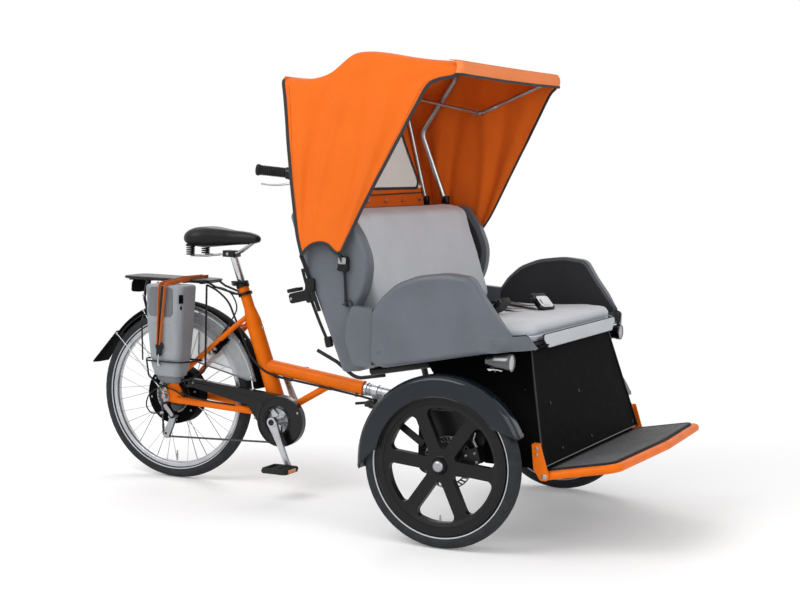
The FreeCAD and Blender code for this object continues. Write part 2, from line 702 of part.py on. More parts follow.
def front_subframe():
    """Axle tube with stub axles, seat frame, spine and the steering head."""
    sx, az, half = size("steer_x"), size("front_radius"), size("track") / 2
    axle = rod((0, -half - 36, az), (0, half + 36, az), size("front_axle_radius"))
    beam = rod((0, -455, az), (0, 455, az), 22)
    plates = [prism_xz([(-110, 205, 30), (70, 205, 30), (110, 330, 30), (40, 400, 20), (-110, 400, 30)],
                       side * 445, side * 455) for side in (RIGHT, LEFT)]
    posts = [bent_tube([(0, side * 330, az), (-20, side * 330, 440), (-60, side * 330, rail_z(-60))], 12, 60)
             for side in (RIGHT, LEFT)]
    rails = [rod((-330, side * 330, rail_z(-330)), (206, side * 330, rail_z(206)), 14) for side in (RIGHT, LEFT)]
    crossers = [rod((x, -330, rail_z(x)), (x, 330, rail_z(x)), 12) for x in (-215, 188)]
    spine = prism_xz([(sx + 15, 312, 0), (-60, 300, 0), (0, 240, 0), (30, 250, 0), (30, 262, 10), (-50, 372, 30),
                      (sx + 15, 372, 0)], -22, 22)
    props = [bent_tube([(sx + 20, 0, 350), (-225, side * 120, 400), (-215, side * 200, rail_z(-215))], 10, 40)
             for side in (RIGHT, LEFT)]
    head = Part.makeCylinder(size("steer_head_radius"), size("steer_head_top") - size("steer_head_bottom"),
                             Vector(sx, 0, size("steer_head_bottom")))
    bore = Part.makeCylinder(size("steer_pin_radius") + size("running_play"), 200,
                             Vector(sx, 0, size("steer_head_bottom") - 50))
    frame = join(axle, beam, *plates, *posts, *rails, *crossers, spine, *props, head)
    nuts = [rod((0, side * (half + 30.5), az), (0, side * (half + 36), az), 15) for side in (RIGHT, LEFT)]
    return join(frame.cut(bore), *nuts)


def level_loft(rows):
    """Solid between level four-sided sections given as (z, rear x, rear half width, front x, front half width)."""
    wires = []
    for z, rear, rear_half, front, front_half in rows:
        corners = [Vector(rear, -rear_half, z), Vector(front, -front_half, z), Vector(front, front_half, z),
                   Vector(rear, rear_half, z)]
        wires.append(Part.makePolygon(corners + corners[:1]))
    return Part.makeLoft(wires, True, True)


def front_box():
    """Black panels under the seat: one front panel and two side panels, open behind and below."""
    outer = level_loft([(257, 112, 462, 296, 469), (610, -175, 380, 205, 364)])
    inner = level_loft([(256, 90, 456, 290, 463), (611, -195, 374, 199, 358)])
    return outer.cut(inner)


def footplate():
    """Deck of the footplate, drawn flat about its hinge."""
    body = new_body("footplate", FOOTPLATE_X, None, "Sizes.hinge_z", size("footplate_tilt"))
    deck = new_sketch(body, "footplate_deck", "XY_Plane", "Sizes.deck_height")
    pad(body, outline(deck, [(10, -440, 4), (200, -430, 30), (222, 0, 0), (200, 430, 30), (10, 440, 4)]), 11)


def footplate_rim():
    """Orange tube round the deck, its two ends on the hinge pins."""
    radius = size("rim_tube_radius")
    tube = bent_tube([(0, -453, 0), (212, -443, 0), (237, 0, 0), (212, 443, 0), (0, 453, 0)], radius, 40)
    eyes = [rod((0, side * 440, 0), (0, side * 466, 0), radius) for side in (RIGHT, LEFT)]
    rim = join(tube, *eyes)
    bore = rod((0, -480, 0), (0, 480, 0), size("hinge_pin_radius") + size("running_play"))
    return rim.cut(bore)


def footplate_brackets():
    """Orange hinge brackets under the front box, each with its pin."""
    hx, hz = size("hinge_x"), size("hinge_z")
    plate = prism_xz([(hx - 12, hz - 12, 10), (hx + 12, hz - 12, 10), (hx + 12, hz + 8, 8), (hx - 16, 330, 4),
                      (hx - 42, 330, 4), (hx - 34, hz + 20, 10)], 470, 476)
    foot = box(hx - 42, hx - 22, 446, 470, 318, 330)
    pin = rod((hx, 440, hz), (hx, 476, hz), size("hinge_pin_radius"))
    tie = join(plate, foot, pin)
    return tie


TUB_PROFILE = [
    (-238, 538, 20), (-195, 526, 40), (125, 589, 60), (243, 605, 20), (185, 668, 60), (122, 750, 60), (82, 812, 40),
    (0, 820, 200), (-90, 808, 160), (-160, 780, 120), (-205, 738, 60), (-238, 690, 40),
]


def side_edges(shape, half):
    """Edges of a shape that lie in its two flat sides, at half to the right and left."""
    return [edge for edge in shape.Edges if abs(edge.CenterOfMass.y) > half - 0.1]


def tub_floor(x):
    """Height of the tub's floor, which rises forwards."""
    return 566 + 0.0883 * (x + 300)


def tub_block():
    """Outside of the double-seat tub: its side profile across the full width, rounded in plan."""
    half = size("tub_half_width")
    whole = prism_xz(TUB_PROFILE, -half, half)
    whole = whole.makeFillet(size("tub_rounding"), side_edges(whole, half))
    near = half + 0.5
    plan = prism_xy([(-260, -600, 0), (100, -600, 0), (100, -near, 0), (243, -near, 150), (243, near, 150),
                     (100, near, 0), (100, 600, 0), (-260, 600, 0)], 480, 900)
    return whole.common(plan)


def tub_bridges():
    """Recessed strips from the armrests back along the outside of the shell's wings."""
    strip = prism_xz([(-236, 700, 0), (-306, 705, 8), (-322, 660, 20), (-326, 600, 30), (-300, 528, 20), (-250, 522, 10),
                      (-236, 530, 0)], size("shell_half_width") + 1, size("tub_half_width") - 14)
    return [strip, mirrored(strip)]


def tub_hollow():
    """Space between the armrests, above the tub's floor."""
    inside = size("tub_half_width") - size("tub_wall")
    return prism_xz([(-300, tub_floor(-300), 0), (300, tub_floor(300), 0), (300, 900, 0), (-300, 900, 0)],
                    -inside, inside)


def backrest_shell():
    """Backrest shell: a deep moulding with wings beside the back cushion and a foot that meets the tub."""
    profile = [(-352, 497, 10), (-296, 503, 30), (-238.3, 533, 6), (-238.3, 562, 6), (-300, 580, 20), (-318, 620, 80),
               (-312, 690, 150), (-276, 760, 180), (-268, 840, 140), (-300, 915, 180), (-352, 985, 24), (-550, 985, 20),
               (-505, 855, 0), (-392, 592, 60)]
    half = size("shell_half_width")
    whole = prism_xz(profile, -half, half)
    edges = [edge for edge in side_edges(whole, half) if edge.CenterOfMass.z > 566]
    whole = whole.makeFillet(size("shell_rounding"), edges)
    cavity = prism_xz([(-240, 590, 0), (-306, 590, 0), (-306, 640, 0), (-440, 1000, 0), (-240, 1000, 0)], -456, 456)
    return whole.cut(cavity)


def seat_cushion():
    """Seat cushion, a plain pad with rounded front corners that rises forwards with the tub's floor."""
    half = size("cushion_half_width")
    pad_ = prism_xz([(-226, tub_floor(-226), 4), (228, tub_floor(228), 12), (228, 664, 16), (-226, 648, 12)],
                    -half, half)
    plan = prism_xy([(-230, -half, 20), (230, -half, 110), (230, half, 110), (-230, half, 20)], 500, 700)
    return pad_.common(plan)


def back_cushion():
    """Back cushion, a plain pad that leans on the shell."""
    return prism_xz([(-230, 656, 20), (-330, 656, 0), (-457, 998, 12), (-348, 985, 30)], -448, 448)


def handlebar():
    """Post behind the backrest and the swept bar."""
    post = rod((-400, 0, 520), (-618, 0, 1040), 16)
    foot = bent_tube([(-215, 0, rail_z(-215)), (-330, 0, 470), (-400, 0, 520)], 16, 30)
    bar = bent_tube([(-760, -330, 1104), (-628, -282, 1092), (-598, -200, 1072), (-618, 0, 1050), (-598, 200, 1072),
                     (-628, 282, 1092), (-760, 330, 1104)], 11, 30)
    return join(post, foot, bar)


def handlebar_controls():
    """Grips, shifter collars and brake levers on both ends of the bar."""
    start, end = Vector(-628, -282, 1092), Vector(-760, -330, 1104)
    way = end.sub(start).normalize()
    grip = rod(tuple(start + way * 42), tuple(end + way * 6), 17)
    collar = rod(tuple(start + way * 18), tuple(start + way * 43), 22)
    lever = bent_tube([tuple(start + way * 24 + Vector(0, 0, -8)), (-654, -302, 1062), (-735, -332, 1058)], 6, 15)
    bore = rod(tuple(start - way * 30), tuple(end + way * 20), 11)
    return both_sides(join(grip, collar, lever).cut(bore))


def hood_outline(inset):
    """Side view of the hood, inset from its back, roof and front edge."""
    d = inset
    if d == 0:
        return [(-492, 859, 0), (-555, 1100, 0), (-612, 1392, 12), (-364, 1477, 30), (-13, 1444, 6), (-13, 1404, 0),
                (-364, 867, 0)]
    return [(-470, 780, 0), (-492 + d, 859, 0), (-555 + d, 1100, 0), (-612 + d, 1392 - d, 10), (-364, 1477 - d, 28),
            (-13 - d, 1444 - d, 4), (-13 - d, 1350, 0), (-280, 780, 0)]


def hood():
    """Hood cloth as a thin shell, open in front and below, narrower at the top than at the seat."""
    cloth = size("cloth")
    shells = []
    for inset in (0, cloth):
        side = prism_xz(hood_outline(inset), -600, 600)
        wide, narrow = 542 - inset, 427 - inset
        tent = prism_yz([(-wide, 780, 0), (wide, 780, 0), (narrow, 1455, 0), (narrow - 20, 1500, 0),
                         (20 - narrow, 1500, 0), (-narrow, 1455, 0)], -700, 50)
        shells.append(side.common(tent))
    shell = shells[0].cut(shells[1])
    shell = shell.cut(box(-700, 0, -501, 501, 700, 996))
    return shell.cut(rod((-428, -600, 800), (-428, 600, 800), 90))


def hood_main_bow():
    """Main bow: two cranked legs from the backrest and a cross bar under the highest point of the roof."""
    return bent_tube([(-436, -472, 984), (-523, -437, 1240), (-368, -404, 1455), (-368, 404, 1455),
                      (-523, 437, 1240), (-436, 472, 984)], size("bow_radius"), 45)


def hood_rear_frame():
    """Rear bow with the fixed halves of the two folding stays and their knuckle pins."""
    radius = size("stay_tube_radius")
    kx, kz = size("knuckle_x"), size("knuckle_z")
    bow = bent_tube([(-512, -470, 984), (-588, -412, 1372), (-588, 412, 1372), (-512, 470, 984)], radius, 40)
    parts = [bow]
    for side in (RIGHT, LEFT):
        parts.append(rod((-588, side * 388, 1372), (kx, side * 388, kz), 6))
        parts.append(rod((kx, side * 381, kz), (kx, side * 395, kz), 10))
        parts.append(rod((kx, side * 395, kz), (kx, side * 414, kz), size("knuckle_pin_radius")))
    return join(*parts)


def hood_front_bow():
    """Front bow: cross bar at the hood's edge and the swinging halves of the two stays."""
    kx, kz = size("knuckle_x"), size("knuckle_z")
    bow = bent_tube([(kx, -404, kz), (-30, -404, 1424), (-30, 404, 1424), (kx, 404, kz)], 7, 30)
    bore = rod((kx, -450, kz), (kx, 450, kz), size("knuckle_pin_radius") + size("running_play"))
    eyes = [rod((kx, side * 397, kz), (kx, side * 411, kz), 10) for side in (RIGHT, LEFT)]
    return join(bow, *eyes).cut(bore)


def front_fender(label, side):
    """A front mudguard: crown over the tyre and a side skirt outside it, open below."""
    place = ("Sizes.front_axle_x", f"{side} * Sizes.track / 2", "Sizes.front_radius")
    body = new_body(label, *place, turn=-14.75)
    section = new_sketch(body, label + "_section", "YZ_Plane")
    crown, wall = size("fender_radius"), size("fender_wall")
    points = [(34, 205, 0), (34, 257, 12), (22, crown, 10), (-22, crown, 10), (-33, 259, 10), (-33, 240, 0),
              (-33 + wall, 240, 0), (-33 + wall, 258, 8), (-21, crown - wall, 8), (21, crown - wall, 8),
              (34 - wall, 256, 9), (34 - wall, 205, 0)]
    outline(section, [(side * y, r, rounding) for y, r, rounding in points])
    revolve(body, section, 165.0)


def fender_stays():
    """Flat bars from the axle plates to the mudguards, on stand-off blocks."""
    az = size("front_radius")
    bars = []
    for angle in (147, 62):
        bar = box(92, 262, 488, 492, -11, 11).fuse(box(92, 112, 455, 488, -10, 10))
        bar.rotate(Vector(), Vector(0, 1, 0), -angle)
        bar.translate(Vector(0, 0, az))
        bars.append(bar)
    return Part.makeCompound(bars + [mirrored(bar) for bar in bars])


def brake_calipers():
    """Calipers over the discs' front edge, on the axle plates."""
    inner = size("track") / 2 - 45
    block = box(58, 112, 455, inner + 22, -24, 24)
    slot = box(40, 90, inner - 6, inner + 5, -40, 40)
    block = block.cut(slot)
    block.rotate(Vector(), Vector(0, 1, 0), -18)
    block.translate(Vector(0, 0, size("front_radius")))
    return both_sides(block)


def headlamps():
    """Two round headlamps on rods from the front box."""
    edges = [edge.toShape() for edge in rounded_path([(128, 0, 0), (128, 12, 6), (150, 20, 10), (200, 26, 4),
                                                      (211, 26, 3), (211, 0, 0)])]
    face = Part.Face(Part.Wire(edges))
    lamp = face.revolve(Vector(), Vector(1, 0, 0), 360)
    lamp.rotate(Vector(), Vector(1, 0, 0), 90)
    lamp.translate(Vector(0, 522, 568))
    rod_ = bent_tube([(150, 522, 556), (150, 500, 536), (150, 394, 536)], 5, 12)
    return both_sides(join(lamp, rod_))


def release_lever():
    """Curved lever under the backrest that frees the front unit's lock."""
    return bent_tube([(-300, -300, 470), (-400, -300, 452), (-470, -300, 500), (-540, -300, 532)], 6, 60)


def front_unit():
    frame = front_subframe()
    feature("front_subframe", frame)
    tub, shell = tub_block(), backrest_shell().cut(frame)
    feature("seat_tub", join(tub.cut(tub_hollow()), *tub_bridges()).cut(frame))
    feature("backrest_shell", shell)
    calipers = brake_calipers().cut(frame)
    feature("brake_calipers", calipers)
    panels = front_box().cut(frame).cut(tub).cut(calipers)
    feature("front_box", panels)
    feature("seat_cushion", seat_cushion())
    feature("back_cushion", back_cushion().cut(shell))
    bar = handlebar().cut(frame).cut(shell)
    feature("handlebar", bar)
    feature("handlebar_controls", handlebar_controls().cut(bar))
    cloth = hood()
    split = box(size("hood_split_x"), 100, -700, 700, 700, 1600)
    feature("hood_rear_cloth", cloth.cut(split))
    feature("hood_front_cloth", cloth.common(split))
    feature("hood_main_bow", hood_main_bow().cut(shell))
    feature("hood_rear_frame", hood_rear_frame().cut(shell))
    feature("hood_front_bow", hood_front_bow())
    for name, side in SIDES:
        front_fender(f"front_fender_{name}", side)
    feature("fender_stays", fender_stays())
    feature("headlamps", headlamps().cut(panels))
    feature("release_lever", release_lever())
    feature("footplate_brackets", both_sides(footplate_brackets().cut(panels)))
    footplate()
    rim = feature("footplate_rim", footplate_rim(), x=FOOTPLATE_X, z="Sizes.hinge_z")
    rim.Placement = Placement(rim.Placement.Base, Rotation(Vector(0, 1, 0), size("footplate_tilt")))


# ---------------------------------------------------------------- build, test and write

front_wheels()
rear_wheel()
rear_frame()
front_unit()
doc.recompute()

faults = [obj.Label for obj in doc.Objects if {"Invalid", "Error"} & set(obj.State)]
for label, obj in nodes.items():
    if obj.Shape.isNull() or not obj.Shape.isValid() or not obj.Shape.Solids:
        faults.append(label)
if faults:
    raise RuntimeError("not built: " + ", ".join(faults))

os.makedirs("parts", exist_ok=True)
for label, obj in nodes.items():
    obj.Shape.exportStep(os.path.join("parts", label + ".step"))
    print(f"{label:22s} {len(obj.Shape.Solids)} solid(s) {obj.Shape.Volume / 1e6:8.3f} litres")
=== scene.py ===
"""Looks for a cycle rickshaw: hooded double seat between two front wheels, one driven wheel behind.

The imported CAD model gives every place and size. Each sub-assembly below is a class whose methods build its
pieces as numpy surfaces or dress its CAD nodes; finishes are small dataclasses that build node materials.
"""

import json
import logging
import math
from dataclasses import dataclass, replace
from enum import Enum
from typing import Iterable, Optional, Sequence

import bpy
import numpy as np
from bpy.types import ID, Material, Mesh, Node, NodeSocket, NodeTree, Object
from mathutils import Matrix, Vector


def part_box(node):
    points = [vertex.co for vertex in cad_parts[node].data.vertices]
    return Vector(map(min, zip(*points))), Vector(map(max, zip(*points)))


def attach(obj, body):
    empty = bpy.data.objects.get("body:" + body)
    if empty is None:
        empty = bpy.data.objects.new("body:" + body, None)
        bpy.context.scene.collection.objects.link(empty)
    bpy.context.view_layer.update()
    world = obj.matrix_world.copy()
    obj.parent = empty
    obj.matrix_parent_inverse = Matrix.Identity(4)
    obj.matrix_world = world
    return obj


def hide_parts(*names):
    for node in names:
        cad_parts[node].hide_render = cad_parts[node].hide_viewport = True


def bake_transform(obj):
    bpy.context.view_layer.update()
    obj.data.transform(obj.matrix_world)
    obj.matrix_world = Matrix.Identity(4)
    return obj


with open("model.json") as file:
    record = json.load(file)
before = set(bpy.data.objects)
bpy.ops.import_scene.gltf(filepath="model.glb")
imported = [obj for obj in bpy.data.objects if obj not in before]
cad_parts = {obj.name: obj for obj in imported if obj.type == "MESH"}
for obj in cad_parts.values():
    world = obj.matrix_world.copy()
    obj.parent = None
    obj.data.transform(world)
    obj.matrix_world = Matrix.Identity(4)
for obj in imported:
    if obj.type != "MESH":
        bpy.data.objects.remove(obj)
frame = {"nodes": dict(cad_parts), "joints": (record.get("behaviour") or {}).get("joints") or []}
LOG = logging.getLogger("rickshaw")

Array = np.ndarray
Colour = tuple[float, float, float]
FORWARD, LEFTWARD, UPWARD = np.eye(3)
SIDES = {"right": -1.0, "left": 1.0}
LONGEST_ARC = 0.49  # share of a run that one bend may take
NEARLY_STRAIGHT = 1.55  # half angle in radians beyond which a corner isn't rounded
BEND_STEPS = 8  # points on each bend of a tube
CURVE_STEPS = 24  # points that a smooth line computes between two given ones


# ---------------------------------------------------------------- the frame


def box_of(node: str) -> tuple[Array, Array]:
    """Lowest and highest corners of a CAD node, in metres."""
    low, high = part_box(node)
    return np.array(low), np.array(high)


def joint_point(name: str) -> Array:
    """The point in metres that a joint turns about."""
    return np.array(next(j["pos_m"] for j in frame["joints"] if j["name"] == name), float)


# ---------------------------------------------------------------- lines and outlines


def unit(vectors: Array) -> Array:
    """Vectors divided by their own lengths."""
    vectors = np.asarray(vectors, float)
    return vectors / np.maximum(np.linalg.norm(vectors, axis=-1, keepdims=True), 1e-12)


def lengths_along(line: Array) -> Array:
    """Distance from the start of a line to each of its points."""
    return np.concatenate([[0.0], np.cumsum(np.linalg.norm(np.diff(line, axis=0), axis=1))])


def even_line(line: Array, count: int) -> Array:
    """The same line with its points evenly spaced.

    Args:
        line: points in order, shape (n, dimensions).
        count: how many points to return.

    Returns:
        Points found by linear interpolation over the distance along the line.
    """
    line = np.asarray(line, float)
    at = lengths_along(line)
    wanted = np.linspace(0, at[-1], count)
    return np.stack([np.interp(wanted, at, line[:, k]) for k in range(line.shape[1])], axis=1)


def smooth_line(points: Sequence[Sequence[float]], count: int, closed: bool = False) -> Array:
    """A smooth curve through a few points.

    Between two points p1 and p2, with neighbours p0 and p3, the curve is the cubic
    0.5 * (2 p1 + (p2 - p0) t + (2 p0 - 5 p1 + 4 p2 - p3) t^2 + (3 p1 - p0 - 3 p2 + p3) t^3).

    Args:
        points: the points to pass through.
        count: how many points to return.
        closed: whether the last point joins the first.

    Returns:
        Evenly spaced points, shape (count, dimensions).
    """
    p = np.asarray(points, float)
    if closed:
        p = np.concatenate([p[-1:], p, p[:2]])
    else:
        p = np.concatenate([2 * p[:1] - p[1:2], p, 2 * p[-1:] - p[-2:-1]])
    t = np.linspace(0, 1, CURVE_STEPS, endpoint=False)[None, :, None]
    p0, p1, p2, p3 = (p[k:len(p) - 3 + k, None, :] for k in range(4))
    curve = 0.5 * (2 * p1 + (p2 - p0) * t + (2 * p0 - 5 * p1 + 4 * p2 - p3) * t ** 2
                   + (3 * p1 - p0 - 3 * p2 + p3) * t ** 3)
    curve = np.concatenate([curve.reshape(-1, p.shape[1]), p[-2:-1]])
    return even_line(curve, count)


def half_corner(back: Array, ahead: Array) -> float:
    """Half of the angle between a corner's two runs, given as directions away from it."""
    return math.acos(float(np.clip(back @ ahead, -1, 1))) / 2


def corner_arc(here: Array, back: Array, ahead: Array, radius: float, reach: float, steps: int) -> Array:
    """An arc that rounds a corner and meets its two runs at a reach from it."""
    middle = here + unit(back + ahead) * radius / math.sin(half_corner(back, ahead))
    turn = np.linspace(0, 1, steps)[:, None]
    chord = (here + back * reach) * (1 - turn) + (here + ahead * reach) * turn
    return middle + unit(chord - middle) * radius


def bent_line(corners: Sequence[Sequence[float]], bend: float) -> Array:
    """Straight runs joined by arcs, as a bent tube's middle line.

    Args:
        corners: the route's corners in metres.
        bend: radius of each arc.

    Returns:
        Points of the route, shape (n, 3).
    """
    c = np.asarray(corners, float)
    out = [c[:1]]
    for before, here, after in zip(c, c[1:], c[2:]):
        back, ahead = unit(before - here), unit(after - here)
        slope = math.tan(half_corner(back, ahead))
        reach = min(bend / slope, *(LONGEST_ARC * np.linalg.norm(end - here) for end in (before, after)))
        out.append(corner_arc(here, back, ahead, reach * slope, reach, BEND_STEPS))
    out.append(c[-1:])
    return np.concatenate(out)


def even_loop(outline: Array, count: int) -> Array:
    """A closed outline with a number of evenly spaced points."""
    return even_line(np.concatenate([outline, outline[:1]]), count + 1)[:-1]


def smooth_step(value: Array) -> Array:
    """0 below 0, 1 above 1 and smooth between them."""
    value = np.clip(value, 0, 1)
    return value * value * (3 - 2 * value)


def within(value: Array, low: Array | float, high: Array | float, soft: float) -> Array:
    """1 between two limits, 0 outside them, and a smooth step of a given width just inside each."""
    return smooth_step((value - low) / soft) * smooth_step((high - value) / soft)


def flattened(wave: Array, power: float) -> Array:
    """Values from -1 to 1 raised to a power with their signs kept, which makes a round section squarer."""
    return np.sign(wave) * np.abs(wave) ** power


def circle(radius: float, count: int) -> Array:
    """Points round a circle."""
    turn = np.linspace(0, 2 * math.pi, count, endpoint=False)
    return np.stack([radius * np.cos(turn), radius * np.sin(turn)], axis=1)


def rounded_outline(corners: Sequence[Sequence[float]], steps: int = 6) -> Array:
    """A closed flat outline whose corners (a, b, radius) are arcs.

    Args:
        corners: each corner with its rounding radius in metres.
        steps: points on each arc.

    Returns:
        Outline points, shape (n, 2).
    """
    c = np.asarray(corners, float)
    out = []
    for i, (a, b, radius) in enumerate(c):
        here = np.array([a, b])
        back, ahead = unit(c[i - 1, :2] - here), unit(c[(i + 1) % len(c), :2] - here)
        half = half_corner(back, ahead)
        if radius <= 0 or half > NEARLY_STRAIGHT:
            out.append(here[None, :])
        else:
            out.append(corner_arc(here, back, ahead, radius, radius / math.tan(half), steps))
    return np.concatenate(out)


def rectangle(wide: float, tall: float, radius: float, steps: int = 5) -> Array:
    """A rounded rectangle about the middle, wide along the first axis."""
    a, b = wide / 2, tall / 2
    return rounded_outline([(-a, -b, radius), (a, -b, radius), (a, b, radius), (-a, b, radius)], steps)


# ---------------------------------------------------------------- surfaces


@dataclass
class Surface:
    """A grid of points that becomes quads.

    Attributes:
        grid: points, shape (rows, columns, 3).
        wrap_rows: whether the last row joins the first.
        wrap_columns: whether the last column joins the first.
        caps: whether the first and last rows are closed with a flat face.
        slot: index of the material on the piece.
    """

    grid: Array
    wrap_rows: bool = False
    wrap_columns: bool = True
    caps: bool = True
    slot: int = 0

    def faces(self, first: int) -> tuple[Array, list[list[int]]]:
        """Quads and caps as vertex numbers that start at first."""
        rows, columns = self.grid.shape[:2]
        i = np.arange(rows if self.wrap_rows else rows - 1)
        j = np.arange(columns if self.wrap_columns else columns - 1)
        i, j = np.meshgrid(i, j, indexing="ij")
        down, across = (i + 1) % rows, (j + 1) % columns
        quads = np.stack([i * columns + j, i * columns + across, down * columns + across, down * columns + j],
                         -1)
        quads = quads.reshape(-1, 4) + first
        ends = []
        if self.caps and not self.wrap_rows and self.wrap_columns:
            ends = [list(range(first + columns - 1, first - 1, -1)),
                    list(range(first + (rows - 1) * columns, first + rows * columns))]
        if self.closed and self.volume(quads - first) < 0:
            quads = quads[:, ::-1]
            ends = [end[::-1] for end in ends]
        return quads, ends

    @property
    def closed(self) -> bool:
        """Whether the grid encloses a space."""
        return self.wrap_columns and (self.caps or self.wrap_rows)

    def volume(self, quads: Array) -> float:
        """Signed volume: the sum over quads of the box product of their corners, from the grid's middle."""
        p = self.grid.reshape(-1, 3) - self.grid.reshape(-1, 3).mean(0)
        a, b, c, d = (p[quads[:, k]] for k in range(4))
        return float((np.cross(b, c) * a).sum() + (np.cross(c, d) * a).sum())

    def moved(self, turn: Array, shift: Array) -> "Surface":
        """A copy turned by a 3 by 3 matrix and then shifted."""
        return replace(self, grid=self.grid @ np.asarray(turn).T + np.asarray(shift))

    def reversed(self) -> "Surface":
        """The same open surface with its faces turned over."""
        return replace(self, grid=self.grid[:, ::-1])


def directions(line: Array, up: Array, closed: bool) -> tuple[Array, Array, Array]:
    """Forward, sideways and upward directions at each point of a line.

    Forward is the mean of the runs on both sides of a point, sideways is forward x up, and upward is
    sideways x forward.
    """
    line = np.asarray(line, float)
    if closed:
        ahead = unit(np.roll(line, -1, 0) - line)
        forward = unit(ahead + np.roll(ahead, 1, 0))
    else:
        run = unit(np.diff(line, axis=0))
        forward = unit(np.concatenate([run[:1], run[:-1] + run[1:], run[-1:]]))
    side = unit(np.cross(forward, np.broadcast_to(up, forward.shape)))
    return forward, side, np.cross(side, forward)


def swept(line: Array, section: Array, up: Array = UPWARD, scale: Optional[Array] = None,
          closed: bool = False, slot: int = 0) -> Surface:
    """A flat closed section carried along a line: point (a, b) becomes line + scale (a side + b upward).

    Args:
        line: middle line, shape (n, 3).
        section: points (a, b) across the line.
        up: direction that the section's second axis keeps nearest to.
        scale: factor on the section at each point of the line.
        closed: whether the line is a loop.
        slot: material index.

    Returns:
        The surface.
    """
    _, side, upward = directions(line, up, closed)
    size = np.ones(len(line)) if scale is None else np.asarray(scale, float)
    grid = (line[:, None, :] + size[:, None, None] * (section[None, :, :1] * side[:, None, :]
                                                      + section[None, :, 1:] * upward[:, None, :]))
    return Surface(grid, wrap_rows=closed, slot=slot)


def tube(corners: Sequence[Sequence[float]], radius: float, bend: float, around: int,
         slot: int = 0) -> Surface:
    """A bent round bar through corners."""
    return swept(bent_line(corners, bend), circle(radius, around), slot=slot)


def cable(points: Sequence[Sequence[float]], radius: float, count: int, around: int, up: Array,
          slot: int = 0) -> Surface:
    """A thin round cable on a smooth curve through its points."""
    return swept(smooth_line(points, count), circle(radius, around), up, slot=slot)


def turned(profile: Array, centre: Array, axis: Array, around: int, slot: int = 0) -> Surface:
    """A profile of (distance along the axis, radius) turned about an axis.

    The point at angle t is centre + along axis + radius (cos t e1 + sin t e2); e1, e2 are square to the axis.

    Args:
        profile: points (along, radius).
        centre: a point on the axis.
        axis: the axis's direction.
        around: points round it.
        slot: material index.

    Returns:
        The surface; its columns run round the axis.
    """
    profile = np.asarray(profile, float)
    axis = unit(np.asarray(axis, float))
    e1 = FORWARD if abs(axis @ FORWARD) < 0.9 else LEFTWARD
    e1 = unit(e1 - axis * (axis @ e1))
    e2 = np.cross(axis, e1) if abs(axis @ LEFTWARD) < 0.9 else np.cross(e1, axis)
    t = np.linspace(0, 2 * math.pi, around, endpoint=False)
    ring = np.cos(t)[:, None] * e1 + np.sin(t)[:, None] * e2
    grid = centre + profile[:, None, :1] * axis + profile[:, None, 1:] * ring[None]
    return Surface(grid, slot=slot)


def ring(profile: Array, centre: Array, axis: Array, around: int, slot: int = 0) -> Surface:
    """A closed profile of (along, radius) turned right round, such as a tyre."""
    return replace(turned(profile, centre, axis, around, slot), wrap_rows=True, caps=False)


def plate(outline: Array, thickness: float, origin: Array, across: Array = FORWARD, along: Array = UPWARD,
          slot: int = 0) -> Surface:
    """A flat outline given a thickness.

    Args:
        outline: points (a, b): a along the first axis, b along the second.
        thickness: metres, half to each side.
        origin: where (0, 0) lies.
        across: direction of the first axis.
        along: direction of the second axis.
        slot: material index.

    Returns:
        The closed surface.
    """
    across, along = np.asarray(across, float), np.asarray(along, float)
    normal = unit(np.cross(across, along))
    flat = np.asarray(origin) + outline[:, :1] * across + outline[:, 1:] * along
    return Surface(np.stack([flat - normal * thickness / 2, flat + normal * thickness / 2]), slot=slot)


def spin_about(axis: Array, angle: float) -> Array:
    """Turning matrix about an axis through the origin, by an angle in radians."""
    return np.array(Matrix.Rotation(angle, 3, axis.tolist()))


def repeated(surface: Surface, centre: Array, axis: Array, count: int, start: float = 0.0) -> list[Surface]:
    """Copies of a surface set evenly round an axis."""
    turns = [spin_about(axis, start + 2 * math.pi * k / count) for k in range(count)]
    return [surface.moved(turn, centre - turn @ centre) for turn in turns]


def screw_head(at: Array, out: Array, radius: float, tall: float, slot: int = 0, sides: int = 24) -> Surface:
    """A domed round head with a socket, standing on a surface."""
    profile = [(-0.2 * tall, radius), (0.45 * tall, radius), (0.8 * tall, 0.86 * radius),
               (tall, 0.6 * radius), (tall, 0.42 * radius), (0.5 * tall, 0.4 * radius),
               (0.5 * tall, 0.002 * radius)]
    return turned(np.array(profile), np.asarray(at, float), np.asarray(out, float), sides, slot=slot)


# ---------------------------------------------------------------- pieces


def linked(name: str, data: ID) -> Object:
    """A new object in the scene."""
    obj = bpy.data.objects.new(name, data)
    bpy.context.scene.collection.objects.link(obj)
    return obj


def surface_lengths(grid: Array) -> tuple[Array, Array]:
    """Metres along the columns and along the rows, for a UV map of real size."""
    across = np.linalg.norm(np.diff(grid, axis=1, append=grid[:, :1]), axis=2).mean(0)
    down = np.linalg.norm(np.diff(grid, axis=0, append=grid[:1]), axis=2).mean(1)
    return np.concatenate([[0], np.cumsum(across)]), np.concatenate([[0], np.cumsum(down)])


